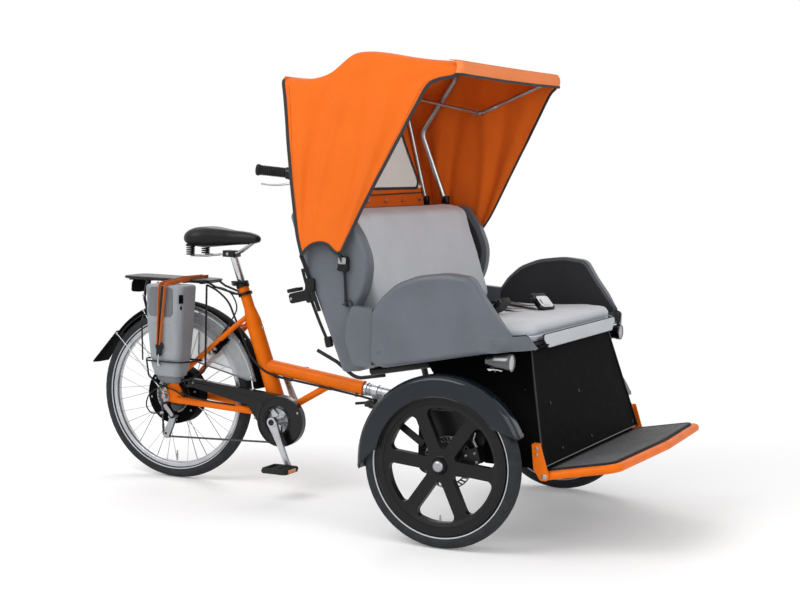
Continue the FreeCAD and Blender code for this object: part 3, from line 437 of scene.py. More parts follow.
def piece(name: str, body: str, surfaces: Iterable[Surface], materials: Sequence[Material],
          replaces: Sequence[str] = (), sharp: float = 35.0) -> Object:
    """Make one object from surfaces, with a UV map in metres, and let it ride on a body.

    Args:
        name: the piece's name.
        body: CAD body that it moves with, or an empty text, which leaves the piece on no body.
        surfaces: the surfaces to join.
        materials: materials in slot order.
        replaces: CAD nodes that the piece stands for.
        sharp: angle in degrees above which an edge stays sharp.

    Returns:
        The object.
    """
    points, faces, uvs, slots, count = [], [], [], [], 0
    for surface in surfaces:
        quads, ends = surface.faces(count)
        rows, columns = surface.grid.shape[:2]
        u, v = surface_lengths(surface.grid)
        local = quads - count
        row, column = local // columns, local % columns
        wrapped = (column == 0) & (column.max(axis=1, keepdims=True) == columns - 1) & surface.wrap_columns
        below = (row == 0) & (row.max(axis=1, keepdims=True) == rows - 1) & surface.wrap_rows
        uvs.append(np.stack([u[np.where(wrapped, columns, column)], v[np.where(below, rows, row)]],
                            -1).reshape(-1, 2))
        flat = surface.grid.reshape(-1, 3)
        points.append(flat)
        faces += quads.tolist()
        for end in ends:
            corner = flat[np.array(end) - count]
            uvs.append(corner[:, :2] + corner[:, 2:])
            faces.append(end)
        slots += [surface.slot] * (len(quads) + len(ends))
        count += rows * columns
    mesh = bpy.data.meshes.new(name)
    mesh.from_pydata(np.concatenate(points), [], faces)
    mesh.uv_layers.new(name="metres").data.foreach_set("uv", np.concatenate(uvs).astype(np.float32).ravel())
    mesh.polygons.foreach_set("material_index", np.array(slots, np.int32))
    obj = linked(name, mesh)
    for material in materials:
        obj.data.materials.append(material)
    obj.data.shade_smooth()
    obj.data.set_sharp_from_angle(angle=math.radians(sharp))
    if body:
        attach(obj, body)
    if replaces:
        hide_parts(*replaces)
    LOG.info("%s: %d faces", obj.name, len(obj.data.polygons))
    return obj


def bevelled(obj: Object, width: float, steps: int = 2) -> Object:
    """Round a piece's sharp edges with a live bevel."""
    bevel = obj.modifiers.new("rounding", "BEVEL")
    bevel.width, bevel.segments, bevel.limit_method = width, steps, "ANGLE"
    bevel.angle_limit, bevel.harden_normals = math.radians(40), False
    return obj


def dress(nodes: Iterable[str], material: Material) -> None:
    """Give CAD nodes a material; their meshes stay as they are."""
    for name in nodes:
        obj = frame["nodes"][name]
        if not obj.material_slots:
            obj.data.materials.append(material)
        for held in obj.material_slots:
            held.link = "OBJECT"
            held.material = material


# ---------------------------------------------------------------- finishes


class Tone(Enum):
    """Colours of the vehicle's finishes, as linear red, green and blue."""

    FRAME_ORANGE = (0.86, 0.165, 0.002)
    HOOD_ORANGE = (0.80, 0.150, 0.012)
    HOOD_PALE = (0.95, 0.27, 0.085)
    THREAD = (0.34, 0.055, 0.010)
    SHELL_GREY = (0.125, 0.137, 0.160)
    LINING_BLACK = (0.036, 0.037, 0.041)
    CUSHION_GREY = (0.56, 0.59, 0.63)
    SADDLE_BLACK = (0.008, 0.008, 0.009)
    PANEL_BLACK = (0.0032, 0.0032, 0.0034)
    DECK_GREY = (0.115, 0.115, 0.120)
    TYRE_GREY = (0.0175, 0.0190, 0.0215)
    STRIPE_WHITE = (0.55, 0.57, 0.60)
    WHEEL_BLACK = (0.0070, 0.0070, 0.0076)
    BATTERY_GREY = (0.30, 0.32, 0.345)
    BATTERY_DARK = (0.155, 0.165, 0.180)
    RUBBER_BLACK = (0.016, 0.016, 0.017)
    SMOKE = (0.006, 0.011, 0.016)
    CLEAR = (0.62, 0.65, 0.67)
    WINDOW = (0.46, 0.43, 0.36)
    ALLOY = (0.50, 0.51, 0.53)
    STEEL = (0.38, 0.39, 0.41)
    CHROME = (0.66, 0.67, 0.70)
    CHAIN_STEEL = (0.10, 0.10, 0.105)
    # Painted shade: the headlamp bodies are bright chrome, darkened here to stand in for the dark
    # surroundings they reflect.
    LAMP_CHROME_PAINTED_SHADE = (0.11, 0.113, 0.118)
    BELT_BLACK = (0.015, 0.015, 0.017)
    STRAP_ORANGE = (0.66, 0.155, 0.022)
    LAMP_RED = (0.42, 0.012, 0.012)
    AMBER = (0.95, 0.24, 0.01)
    FLOOR = (0.90, 0.90, 0.90)


def shade(colour: Colour, factor: float) -> Colour:
    """A colour made darker or lighter."""
    return tuple(min(1.0, channel * factor) for channel in colour)


class Bench:
    """Nodes of one material on the Principled shader."""

    def __init__(self, name: str) -> None:
        """Make the material and keep its shader.

        Args:
            name: the material's name.
        """
        self.material = bpy.data.materials.new(name)
        self.material.use_nodes = True
        self.tree = self.material.node_tree
        self.shader = self.tree.nodes["Principled BSDF"]
        self.places = self.add("ShaderNodeTexCoord")

    def add(self, kind: str, **settings: object) -> Node:
        """A node with its settings."""
        node = self.tree.nodes.new(kind)
        for key, value in settings.items():
            setattr(node, key, value)
        return node

    def join(self, start: NodeSocket, end: NodeSocket) -> None:
        """Link an output to an input."""
        self.tree.links.new(start, end)

    def fixed(self, **sockets: object) -> None:
        """Set constants on the shader; an underscore in a name stands for a space."""
        for key, value in sockets.items():
            self.shader.inputs[key.replace("_", " ")].default_value = value

    def where(self, by_uv: bool = False, stretch: Sequence[float] = (1, 1, 1),
              turn: float = 0.0) -> NodeSocket:
        """Coordinates in metres.

        Args:
            by_uv: whether they follow the piece's own UV map instead of the object.
            stretch: factor along each axis.
            turn: turning about the third axis in degrees.

        Returns:
            The vector output.
        """
        mapping = self.add("ShaderNodeMapping")
        mapping.inputs["Scale"].default_value = stretch
        mapping.inputs["Rotation"].default_value = (0, 0, math.radians(turn))
        self.join(self.places.outputs["UV" if by_uv else "Object"], mapping.inputs["Vector"])
        return mapping.outputs["Vector"]

    def noise(self, at: NodeSocket, scale: float, detail: float = 3.0, rough: float = 0.5) -> NodeSocket:
        """Soft random values, from 0 to 1."""
        node = self.add("ShaderNodeTexNoise")
        node.inputs["Scale"].default_value = scale
        node.inputs["Detail"].default_value = detail
        node.inputs["Roughness"].default_value = rough
        self.join(at, node.inputs["Vector"])
        return node.outputs["Fac"]

    def cells(self, at: NodeSocket, scale: float, feature: str = "F1") -> NodeSocket:
        """Distance from the nearest of scattered points."""
        node = self.add("ShaderNodeTexVoronoi", feature=feature)
        node.inputs["Scale"].default_value = scale
        self.join(at, node.inputs["Vector"])
        return node.outputs["Distance"]

    def waves(self, at: NodeSocket, scale: float, axis: str) -> NodeSocket:
        """Even bands across an axis; scale is bands in 0.314 m."""
        node = self.add("ShaderNodeTexWave", bands_direction=axis, wave_profile="SIN")
        node.inputs["Scale"].default_value = scale
        node.inputs["Distortion"].default_value = 0.0
        self.join(at, node.inputs["Vector"])
        return node.outputs["Fac"]

    def between(self, value: NodeSocket, low: float, high: float, start: float = 0.0,
                end: float = 1.0) -> NodeSocket:
        """The value moved from start..end to low..high."""
        node = self.add("ShaderNodeMapRange")
        for key, number in (("From Min", start), ("From Max", end), ("To Min", low), ("To Max", high)):
            node.inputs[key].default_value = number
        self.join(value, node.inputs["Value"])
        return node.outputs["Result"]

    def sums(self, first: NodeSocket, second: NodeSocket, operation: str = "ADD") -> NodeSocket:
        """Two values put together by a simple operation."""
        node = self.add("ShaderNodeMath", operation=operation)
        self.join(first, node.inputs[0])
        self.join(second, node.inputs[1])
        return node.outputs[0]

    def blend(self, share: NodeSocket, first: Colour, second: Colour) -> NodeSocket:
        """Two colours mixed by a share from 0 to 1."""
        node = self.add("ShaderNodeMix", data_type="RGBA")
        node.inputs["A"].default_value = (*first, 1)
        node.inputs["B"].default_value = (*second, 1)
        self.join(share, node.inputs["Factor"])
        return node.outputs["Result"]

    def mottled(self, cloud: NodeSocket, base: Colour, dark: float, light: float) -> NodeSocket:
        """A colour that clouds make darker or lighter, by two factors."""
        return self.blend(self.between(cloud, 0, 1, 0.3, 0.7), shade(base, dark), shade(base, light))

    def over(self, share: NodeSocket, below: NodeSocket, second: Colour) -> NodeSocket:
        """A colour laid over another output by a share from 0 to 1."""
        node = self.add("ShaderNodeMix", data_type="RGBA")
        node.inputs["B"].default_value = (*second, 1)
        self.join(below, node.inputs["A"])
        self.join(share, node.inputs["Factor"])
        return node.outputs["Result"]

    def raised(self, height: NodeSocket, depth: float, strength: float = 1.0,
               below: Optional[NodeSocket] = None) -> NodeSocket:
        """A normal from a height of 0 to 1 times depth in metres."""
        node = self.add("ShaderNodeBump")
        node.inputs["Strength"].default_value = strength
        node.inputs["Distance"].default_value = depth
        self.join(height, node.inputs["Height"])
        if below is not None:
            self.join(below, node.inputs["Normal"])
        return node.outputs["Normal"]

    def colour(self, output: NodeSocket) -> None:
        """Lead an output to the shader's colour."""
        self.join(output, self.shader.inputs["Base Color"])

    def roughness(self, output: NodeSocket) -> None:
        """Lead an output to the shader's roughness."""
        self.join(output, self.shader.inputs["Roughness"])

    def normal(self, output: NodeSocket) -> None:
        """Lead an output to the shader's normal."""
        self.join(output, self.shader.inputs["Normal"])


@dataclass(frozen=True)
class Coating:
    """What every finish has: a name, a tone and nodes laid on the shader."""

    name: str
    tone: Tone

    def lay(self, b: Bench, base: Colour) -> None:
        """Join the nodes."""
        raise NotImplementedError

    def material(self) -> Material:
        """Build the node material."""
        b = Bench(self.name)
        self.lay(b, self.tone.value)
        return b.material


@dataclass(frozen=True)
class Paint(Coating):
    """Stove enamel: an even colour with a faint mottle, orange peel and a clear coat."""

    rough: float = 0.30
    coat: float = 0.10
    peel: float = 0.00004
    shine: float = 0.28

    def lay(self, b: Bench, base: Colour) -> None:
        """Join the nodes."""
        mottle = b.noise(b.where(), 9.0, 4.0)
        b.colour(b.blend(b.between(mottle, 0, 1, 0.35, 0.65), shade(base, 0.90), shade(base, 1.06)))
        b.roughness(b.between(b.noise(b.where(), 60.0, 4.0), self.rough - 0.06, self.rough + 0.10))
        b.normal(b.raised(b.noise(b.where(), 420.0, 2.0), self.peel))
        b.fixed(Coat_Weight=self.coat, Coat_Roughness=0.06, Specular_IOR_Level=self.shine)


@dataclass(frozen=True)
class Metal(Coating):
    """Bare metal with brush lines along an axis of the object."""

    rough: float = 0.28
    brushed: tuple[float, float, float] = (6.0, 160.0, 160.0)
    depth: float = 0.00002

    def lay(self, b: Bench, base: Colour) -> None:
        """Join the nodes."""
        lines = b.noise(b.where(stretch=self.brushed), 6.0, 5.0, 0.6)
        cloud = b.noise(b.where(), 18.0, 4.0)
        b.colour(b.mottled(cloud, base, 0.84, 1.08))
        b.roughness(b.between(lines, self.rough - 0.08, self.rough + 0.14, 0.3, 0.7))
        b.normal(b.raised(lines, self.depth))
        b.fixed(Metallic=1.0)


@dataclass(frozen=True)
class Moulded(Coating):
    """Moulded plastic with a fine pebbled grain."""

    rough: float = 0.45
    grain: float = 900.0
    depth: float = 0.00008
    coat: float = 0.0
    vary: float = 0.10
    shine: float = 0.30

    def lay(self, b: Bench, base: Colour) -> None:
        """Join the nodes."""
        at = b.where()
        cloud = b.noise(at, 7.0, 5.0, 0.6)
        b.colour(b.mottled(cloud, base, 1 - self.vary, 1 + self.vary))
        pebbles = b.sums(b.cells(at, self.grain), b.noise(at, self.grain * 0.6, 2.0))
        b.roughness(b.between(b.noise(at, 40.0, 4.0), self.rough - 0.07, self.rough + 0.09))
        b.normal(b.raised(pebbles, self.depth))
        b.fixed(Coat_Weight=self.coat, Coat_Roughness=0.08, Specular_IOR_Level=self.shine)


@dataclass(frozen=True)
class Rubber(Coating):
    """Rubber with dust in its grain."""

    rough: float = 0.72

    def lay(self, b: Bench, base: Colour) -> None:
        """Join the nodes."""
        at = b.where()
        dust = b.noise(at, 26.0, 6.0, 0.65)
        b.colour(b.blend(b.between(dust, 0, 1, 0.40, 0.75), base, shade(base, 1.9)))
        b.roughness(b.between(dust, self.rough - 0.10, self.rough + 0.12))
        b.normal(b.raised(b.noise(at, 1400.0, 2.0), 0.00012))
        b.fixed(Specular_IOR_Level=0.25)


@dataclass(frozen=True)
class Woven(Coating):
    """Cloth woven from two sets of threads, drawn in metres.

    Attributes:
        name: the material's name.
        tone: colour of the threads.
        threads: threads in one metre.
        depth: height of the weave in metres.
        rough: roughness.
        sheen: soft light at grazing angles.
        fade: how far its patches are lighter or darker.
        by_uv: whether the threads follow the piece's own UV map.
        shine: strength of its highlights.
    """

    threads: float = 900.0
    depth: float = 0.00025
    rough: float = 0.82
    sheen: float = 0.25
    fade: float = 0.10
    by_uv: bool = True
    shine: float = 0.15

    def lay(self, b: Bench, base: Colour) -> None:
        """Join the nodes."""
        at = b.where(self.by_uv)
        bands = self.threads * 0.314 / 2
        warp, weft = b.waves(at, bands, "X"), b.waves(at, bands, "Y")
        weave = b.sums(warp, weft, "MULTIPLY")
        space = b.where()
        patches = b.noise(space, 3.5, 4.0, 0.55)
        slubs = b.noise(b.where(self.by_uv, (60.0, 900.0, 1.0)), 1.0, 3.0)
        tinted = b.mottled(patches, base, 1 - self.fade, 1 + self.fade)
        b.colour(b.over(b.between(slubs, 0.0, 0.30, 0.45, 0.8), tinted, shade(base, 0.72)))
        b.roughness(b.between(weave, self.rough + 0.08, self.rough - 0.06))
        b.normal(b.raised(weave, self.depth, 0.7, b.raised(b.noise(space, 38.0, 3.0), 0.0008, 0.5)))
        b.fixed(Sheen_Weight=self.sheen, Sheen_Roughness=0.5, Specular_IOR_Level=self.shine)


@dataclass(frozen=True)
class Hide(Coating):
    """Coated upholstery: a smooth skin with pores and faint creases."""

    rough: float = 0.55
    pores: float = 700.0
    depth: float = 0.00018
    sheen: float = 0.1

    def lay(self, b: Bench, base: Colour) -> None:
        """Join the nodes."""
        at = b.where()
        cloud = b.noise(at, 5.0, 5.0, 0.6)
        speck = b.noise(at, 900.0, 2.0)
        tinted = b.mottled(cloud, base, 0.94, 1.05)
        b.colour(b.over(b.between(speck, 0.0, 0.25, 0.50, 0.75), tinted, shade(base, 0.80)))
        b.roughness(b.between(b.noise(at, 30.0, 4.0), self.rough - 0.06, self.rough + 0.08))
        skin = b.raised(b.cells(at, self.pores, "SMOOTH_F1"), self.depth, 0.8)
        b.normal(b.raised(b.noise(at, 16.0, 4.0), 0.0010, 0.35, skin))
        b.fixed(Sheen_Weight=self.sheen, Specular_IOR_Level=0.25)


@dataclass(frozen=True)
class ClearSheet(Coating):
    """Clear or smoked plastic sheet with faint scuffs."""

    alpha: float = 0.5
    rough: float = 0.10
    coat: float = 0.6
    shine: float = 0.4

    def lay(self, b: Bench, base: Colour) -> None:
        """Join the nodes."""
        scuffs = b.noise(b.where(), 24.0, 6.0, 0.6)
        b.colour(b.blend(b.between(scuffs, 0, 1, 0.3, 0.8), base, shade(base, 1.25)))
        b.roughness(b.between(scuffs, self.rough, self.rough + 0.12, 0.3, 0.8))
        b.normal(b.raised(b.noise(b.where(), 14.0, 2.0), 0.00015))
        b.fixed(Alpha=self.alpha, Coat_Weight=self.coat, Coat_Roughness=0.05, Specular_IOR_Level=self.shine)


@dataclass(frozen=True)
class GrainedDeck(Coating):
    """Anti-slip deck: coarse grain with rows of small round studs."""


    def lay(self, b: Bench, base: Colour) -> None:
        """Join the nodes."""
        at = b.where()
        cloud = b.noise(at, 8.0, 5.0, 0.65)
        speck = b.noise(at, 520.0, 3.0, 0.7)
        tinted = b.mottled(cloud, base, 0.85, 1.15)
        b.colour(b.over(b.between(speck, 0.0, 0.6, 0.55, 0.8), tinted, shade(base, 1.9)))
        b.roughness(b.between(speck, 0.62, 0.85))
        b.normal(b.raised(b.sums(speck, b.cells(at, 300.0)), 0.0006, 0.8))
        b.fixed(Specular_IOR_Level=0.2)


@dataclass(frozen=True)
class Striped(Coating):
    """Tyre rubber with a narrow reflective stripe on its flanks.

    Attributes:
        name: the material's name.
        tone: colour of the rubber.
        centre: middle of the wheel in metres.
        stripe: radius of the stripe's middle.
        width: width of the stripe.
    """

    centre: tuple[float, float, float]
    stripe: float
    width: float = 0.004

    def lay(self, b: Bench, base: Colour) -> None:
        """Join the nodes: the stripe is where the distance from the axis is near its radius."""
        at = b.where()
        dust = b.noise(at, 26.0, 6.0, 0.65)
        rubber = b.blend(b.between(dust, 0, 1, 0.40, 0.75), base, shade(base, 1.9))
        flat = b.add("ShaderNodeMapping")
        flat.inputs["Location"].default_value = (-self.centre[0], 0, -self.centre[2])
        flat.inputs["Scale"].default_value = (1, 0, 1)
        b.join(b.places.outputs["Object"], flat.inputs["Vector"])
        distance = b.add("ShaderNodeVectorMath", operation="LENGTH")
        b.join(flat.outputs["Vector"], distance.inputs[0])
        off = b.add("ShaderNodeMath", operation="SUBTRACT")
        off.inputs[1].default_value = self.stripe
        b.join(distance.outputs["Value"], off.inputs[0])
        away = b.add("ShaderNodeMath", operation="ABSOLUTE")
        b.join(off.outputs[0], away.inputs[0])
        share = b.between(away.outputs[0], 1, 0, self.width * 0.45, self.width * 0.55)
        b.colour(b.over(share, rubber, Tone.STRIPE_WHITE.value))
        b.roughness(b.between(dust, 0.62, 0.84))
        b.normal(b.raised(b.noise(at, 1400.0, 2.0), 0.00012))
        b.fixed(Specular_IOR_Level=0.25)


class Finish:
    """Every finish of the vehicle, built once."""

    def __init__(self) -> None:
        """Build the materials."""
        self.frame = Paint("frame_enamel", Tone.FRAME_ORANGE, 0.42, 0.05, 0.00004, 0.12).material()
        self.black = Paint("black_enamel", Tone.WHEEL_BLACK, 0.38, 0.08, 0.00004, 0.25).material()
        self.wheel = Paint("wheel_lacquer", Tone.WHEEL_BLACK, 0.38, 0.08, 0.00004, 0.20).material()
        self.alloy = Metal("brushed_alloy", Tone.ALLOY).material()
        self.steel = Metal("plain_steel", Tone.STEEL, 0.34, (90.0, 90.0, 90.0)).material()
        self.chrome = Metal("chrome_plate", Tone.CHROME, 0.12, (60.0, 60.0, 60.0), 0.000004).material()
        self.chain = Metal("oiled_chain", Tone.CHAIN_STEEL, 0.36, (90.0, 90.0, 90.0)).material()
        # Painted shade: bright chrome darkened to stand in for the dark surroundings that it reflects.
        self.lamp = Metal("lamp_chrome_painted_shade", Tone.LAMP_CHROME_PAINTED_SHADE, 0.16, (60.0, 60.0, 60.0), 0.000004).material()
        self.rubber = Rubber("black_rubber", Tone.RUBBER_BLACK).material()
        self.shell = Moulded("shell_moulding", Tone.SHELL_GREY, 0.42, 1100.0, 0.00006).material()
        self.lining = Moulded("lining_panel", Tone.LINING_BLACK, 0.62, 700.0, 0.00016, 0.0, 0.12,
                              0.15).material()
        self.panel = Moulded("black_panel", Tone.PANEL_BLACK, 0.60, 600.0, 0.00010, 0.0, 0.15,
                             0.02).material()
        self.gloss = Moulded("gloss_moulding", Tone.PANEL_BLACK, 0.18, 1600.0, 0.00001, 0.12, 0.1,
                             0.25).material()
        self.battery = Moulded("battery_moulding", Tone.BATTERY_GREY, 0.50, 800.0, 0.00010).material()
        self.battery_dark = Moulded("battery_dark_moulding", Tone.BATTERY_DARK, 0.50, 800.0,
                                    0.00010).material()
        self.hood = Woven("hood_canvas", Tone.HOOD_ORANGE, 1300.0, 0.00014, 0.80, 0.05, 0.06).material()
        self.hood_pale = Woven("hood_canvas_pale", Tone.HOOD_PALE, 1300.0, 0.00014, 0.78, 0.05,
                               0.05).material()
        self.thread = Woven("seam_thread", Tone.THREAD, 2400.0, 0.0001, 0.8, 0.1, 0.05).material()
        self.binding = Woven("binding_tape", Tone.LINING_BLACK, 1600.0, 0.00018, 0.75, 0.1).material()
        self.webbing = Woven("belt_webbing", Tone.BELT_BLACK, 700.0, 0.00040, 0.70, 0.2).material()
        self.strap = Woven("orange_strap", Tone.STRAP_ORANGE, 900.0, 0.0003, 0.70, 0.2).material()
        self.cushion = Hide("cushion_cover", Tone.CUSHION_GREY, 0.62, 800.0, 0.00016, 0.12).material()
        self.saddle = Hide("saddle_cover", Tone.SADDLE_BLACK, 0.42, 900.0, 0.00012, 0.0).material()
        self.smoke = ClearSheet("smoked_sheet", Tone.SMOKE, 0.94, 0.04, 0.45, 0.15).material()
        self.clear = ClearSheet("clear_sheet", Tone.CLEAR, 0.32, 0.10, 0.6).material()
        self.window = ClearSheet("window_film", Tone.WINDOW, 0.46, 0.16, 0.2).material()
        self.lens = ClearSheet("lamp_glass", Tone.CHROME, 0.45, 0.04, 0.8).material()
        self.red = Moulded("red_lens", Tone.LAMP_RED, 0.14, 500.0, 0.00010, 0.7).material()
        self.amber = Moulded("amber_reflector", Tone.AMBER, 0.18, 500.0, 0.00020, 0.6).material()
        self.deck = GrainedDeck("grained_deck", Tone.DECK_GREY).material()


# ---------------------------------------------------------------- studio


@dataclass
class Studio:
    """Camera, lamps and a pale floor.

    Attributes:
        stand: camera's place in metres.
        yaw: turn of the camera about the vertical, in degrees from looking along +Y.
        pitch: degrees that it looks downwards.
        roll: degrees that it leans.
        lens: focal length in millimetres.
        world: strength of the world's light.
        floor_reach: distance at which the floor has become the white background.
    """

    stand: tuple[float, float, float] = (2.4653, -5.0519, 1.1688)
    yaw: float = 24.783
    pitch: float = 5.008
    roll: float = 1.313
    lens: float = 75.717
    world: float = 0.62
    floor_reach: float = 3.4

    def build(self) -> None:
        """Set up everything that isn't the vehicle."""
        self.camera()
        self.sky()
        self.floor()
        self.lamp("key", (-1.6, -3.6, 4.2), (0.1, 0.0, 0.6), 3.2, 130.0)
        self.lamp("fill", (4.2, -2.6, 2.6), (0.2, 0.0, 0.7), 2.8, 52.0)
        self.lamp("rim", (-1.5, 3.6, 3.6), (0.0, 0.0, 0.8), 2.6, 60.0)

    def camera(self) -> None:
        """Place the camera with its turn, tilt and lean."""
        data = bpy.data.cameras.new("camera")
        data.lens, data.sensor_width = self.lens, 36.0
        data.clip_start, data.clip_end = 0.1, 60.0
        obj = linked("camera", data)
        turn = (Matrix.Rotation(math.radians(self.yaw), 4, "Z")
                @ Matrix.Rotation(math.radians(90 - self.pitch), 4, "X")
                @ Matrix.Rotation(math.radians(self.roll), 4, "Z"))
        obj.matrix_world = Matrix.Translation(self.stand) @ turn
        bpy.context.scene.camera = obj
        bpy.context.scene.view_settings.view_transform = "Standard"

    def sky(self) -> None:
        """White where the camera, gloss or glass sees the world, softer as a light."""
        world = bpy.data.worlds.new("studio")
        bpy.context.scene.world = world
        world.use_nodes = True
        tree = world.node_tree
        light, seen = tree.nodes["Background"], tree.nodes.new("ShaderNodeBackground")
        light.inputs["Color"].default_value = (1.0, 1.0, 1.0, 1)
        light.inputs["Strength"].default_value = self.world
        seen.inputs["Color"].default_value = (1, 1, 1, 1)
        path = tree.nodes.new("ShaderNodeLightPath")
        either = self.largest(tree, path, ("Is Camera Ray", "Is Glossy Ray", "Is Transmission Ray"))
        mixed = tree.nodes.new("ShaderNodeMixShader")
        tree.links.new(either, mixed.inputs["Fac"])
        tree.links.new(light.outputs[0], mixed.inputs[1])
        tree.links.new(seen.outputs[0], mixed.inputs[2])
        tree.links.new(mixed.outputs[0], tree.nodes["World Output"].inputs["Surface"])

    @staticmethod
    def largest(tree: NodeTree, path: Node, names: Sequence[str]) -> NodeSocket:
        """The largest of several outputs of a node."""
        value = path.outputs[names[0]]
        for name in names[1:]:
            node = tree.nodes.new("ShaderNodeMath")
            node.operation = "MAXIMUM"
            tree.links.new(value, node.inputs[0])
            tree.links.new(path.outputs[name], node.inputs[1])
            value = node.outputs[0]
        return value

    def floor(self) -> None:
        """A pale round floor that keeps the shadow and fades to white away from the vehicle."""
        turn = np.linspace(0, 2 * math.pi, 96, endpoint=False)
        radii = np.array([0.001, 1.0, 2.0, 3.0, 5.0, 9.0, 20.0])
        grid = np.stack([radii[:, None] * np.cos(turn), radii[:, None] * np.sin(turn), np.zeros((7, 96))], -1)
        quads, _ = Surface(grid, caps=False).faces(0)
        mesh = bpy.data.meshes.new("floor")
        mesh.from_pydata(grid.reshape(-1, 3), [], quads.tolist())
        obj = linked("floor", mesh)
        bench = Bench("pale_floor")
        tone = Tone.FLOOR.value
        cloud = bench.noise(bench.where(), 1.2, 3.0)
        bench.colour(bench.blend(cloud, shade(tone, 0.985), shade(tone, 1.015)))
        bench.roughness(bench.between(cloud, 0.75, 0.85))
        white = bench.add("ShaderNodeEmission")
        white.inputs["Strength"].default_value = 1.0
        lift = bench.add("ShaderNodeEmission")
        lift.inputs["Strength"].default_value = 0.16
        path = bench.add("ShaderNodeLightPath")
        seen = self.largest(bench.tree, path, ("Is Camera Ray", "Is Glossy Ray", "Is Transmission Ray"))
        away = bench.add("ShaderNodeVectorMath", operation="LENGTH")
        bench.join(bench.places.outputs["Object"], away.inputs[0])
        share = bench.between(away.outputs["Value"], 0, 1, 1.5, self.floor_reach)
        share = bench.sums(share, seen, "MULTIPLY")
        dim = bench.add("ShaderNodeMixShader")
        bench.join(seen, dim.inputs["Fac"])
        added = bench.add("ShaderNodeAddShader")
        bench.join(bench.shader.outputs[0], added.inputs[0])
        bench.join(lift.outputs[0], added.inputs[1])
        bench.join(bench.shader.outputs[0], dim.inputs[1])
        bench.join(added.outputs[0], dim.inputs[2])
        fade = bench.add("ShaderNodeMixShader")
        bench.join(share, fade.inputs["Fac"])
        bench.join(dim.outputs[0], fade.inputs[1])
        bench.join(white.outputs[0], fade.inputs[2])
        bench.join(fade.outputs[0], bench.tree.nodes["Material Output"].inputs["Surface"])
        mesh.materials.append(bench.material)

    @staticmethod
    def lamp(name: str, stand: Sequence[float], aim: Sequence[float], size: float, power: float) -> None:
        """A large soft area lamp.

        Args:
            name: the lamp's name.
            stand: where it stands.
            aim: the point that it faces.
            size: side of the lamp in metres.
            power: watts.
        """
        data = bpy.data.lights.new(name, "AREA")
        data.size, data.energy = size, power
        obj = linked(name, data)
        way = Matrix.Identity(3)
        from_aim = unit(np.array(stand) - np.array(aim))
        side = unit(np.cross(UPWARD, from_aim))
        for column, axis in enumerate((side, np.cross(from_aim, side), from_aim)):
            way.col[column] = axis.tolist()
        obj.matrix_world = Matrix.Translation(stand) @ way.to_4x4()


# ---------------------------------------------------------------- soft surfaces


AXLE_X = float(joint_point("left_front_wheel_spin")[0])


def spot(x: float, y: float, z: float) -> Array:
    """A point whose x is measured from the front axle."""
    return np.array([AXLE_X + x, y, z])


THREAD = .0006  # radius of sewing thread, in metres
REAR_AXLE = spot(-1.252, 0, .300)
GUARD_MIDDLE = spot(-1.235, 0, .300)


def level(outline: Array, height: float) -> Array:
    """A flat outline of (x from the front axle, y) laid level at a height."""
    return np.concatenate([outline + [AXLE_X, 0], np.full((len(outline), 1), height)], -1)


def side_line(points: Sequence[tuple[float, float]], count: int) -> Array:
    """A smooth side-view line of (x from the front axle, z), as (x, z) in the vehicle's frame."""
    return smooth_line(points, count) + [AXLE_X, 0.0]


def patch(bottom: Array, top: Array, rear: Array, front: Array) -> Array:
    """Points between four edges that meet at their ends.

    S(u, v) = (1-v) rear(u) + v front(u) + (1-u) bottom(v) + u top(v), less the four corners weighted by
    (1-u)(1-v), (1-u)v, u(1-v) and uv.

    Args:
        bottom: edge for u = 0, shape (m, d).
        top: edge for u = 1, shape (m, d).
        rear: edge for v = 0, shape (n, d).
        front: edge for v = 1, shape (n, d).

    Returns:
        Points, shape (n, m, d).
    """
    u = np.linspace(0, 1, len(rear))[:, None, None]
    v = np.linspace(0, 1, len(bottom))[None, :, None]
    corners = ((1 - u) * (1 - v) * bottom[0] + (1 - u) * v * bottom[-1]
               + u * (1 - v) * top[0] + u * v * top[-1])
    return ((1 - v) * rear[:, None] + v * front[:, None] + (1 - u) * bottom[None] + u * top[None]) - corners


def softened(grid: Array, weight: Array, rounds: int) -> Array:
    """Points moved by a weight towards the mean of their neighbours along the first axis, several times."""
    for _ in range(rounds):
        mean = (np.roll(grid, 1, 0) + np.roll(grid, -1, 0)) / 2
        mean[0], mean[-1] = grid[0], grid[-1]
        grid = grid + weight[:, None, None] * (mean - grid)
    return grid


def ripples(at: Array, waves: Sequence[tuple[float, float, float, float]]) -> Array:
    """Sum of size * sin(a x + b y + start) over waves (size, a, b, start) at points (x, y)."""
    return sum(size * np.sin(a * at[..., 0] + b * at[..., 1] + start) for size, a, b, start in waves)


def sewn(line: Array, up: Array = UPWARD, slot: int = 0) -> list[Surface]:
    """Stitches along a line: a thread from each even point to the next."""
    return [swept(np.stack(ends), circle(THREAD, 5), up, slot=slot) for ends in zip(line[::2], line[1::2])]


def thickened(obj: Object, thickness: float) -> Object:
    """Give an open sheet a live thickness, inwards from its face."""
    solid = obj.modifiers.new("thickness", "SOLIDIFY")
    solid.thickness, solid.offset = thickness, -1.0
    return obj


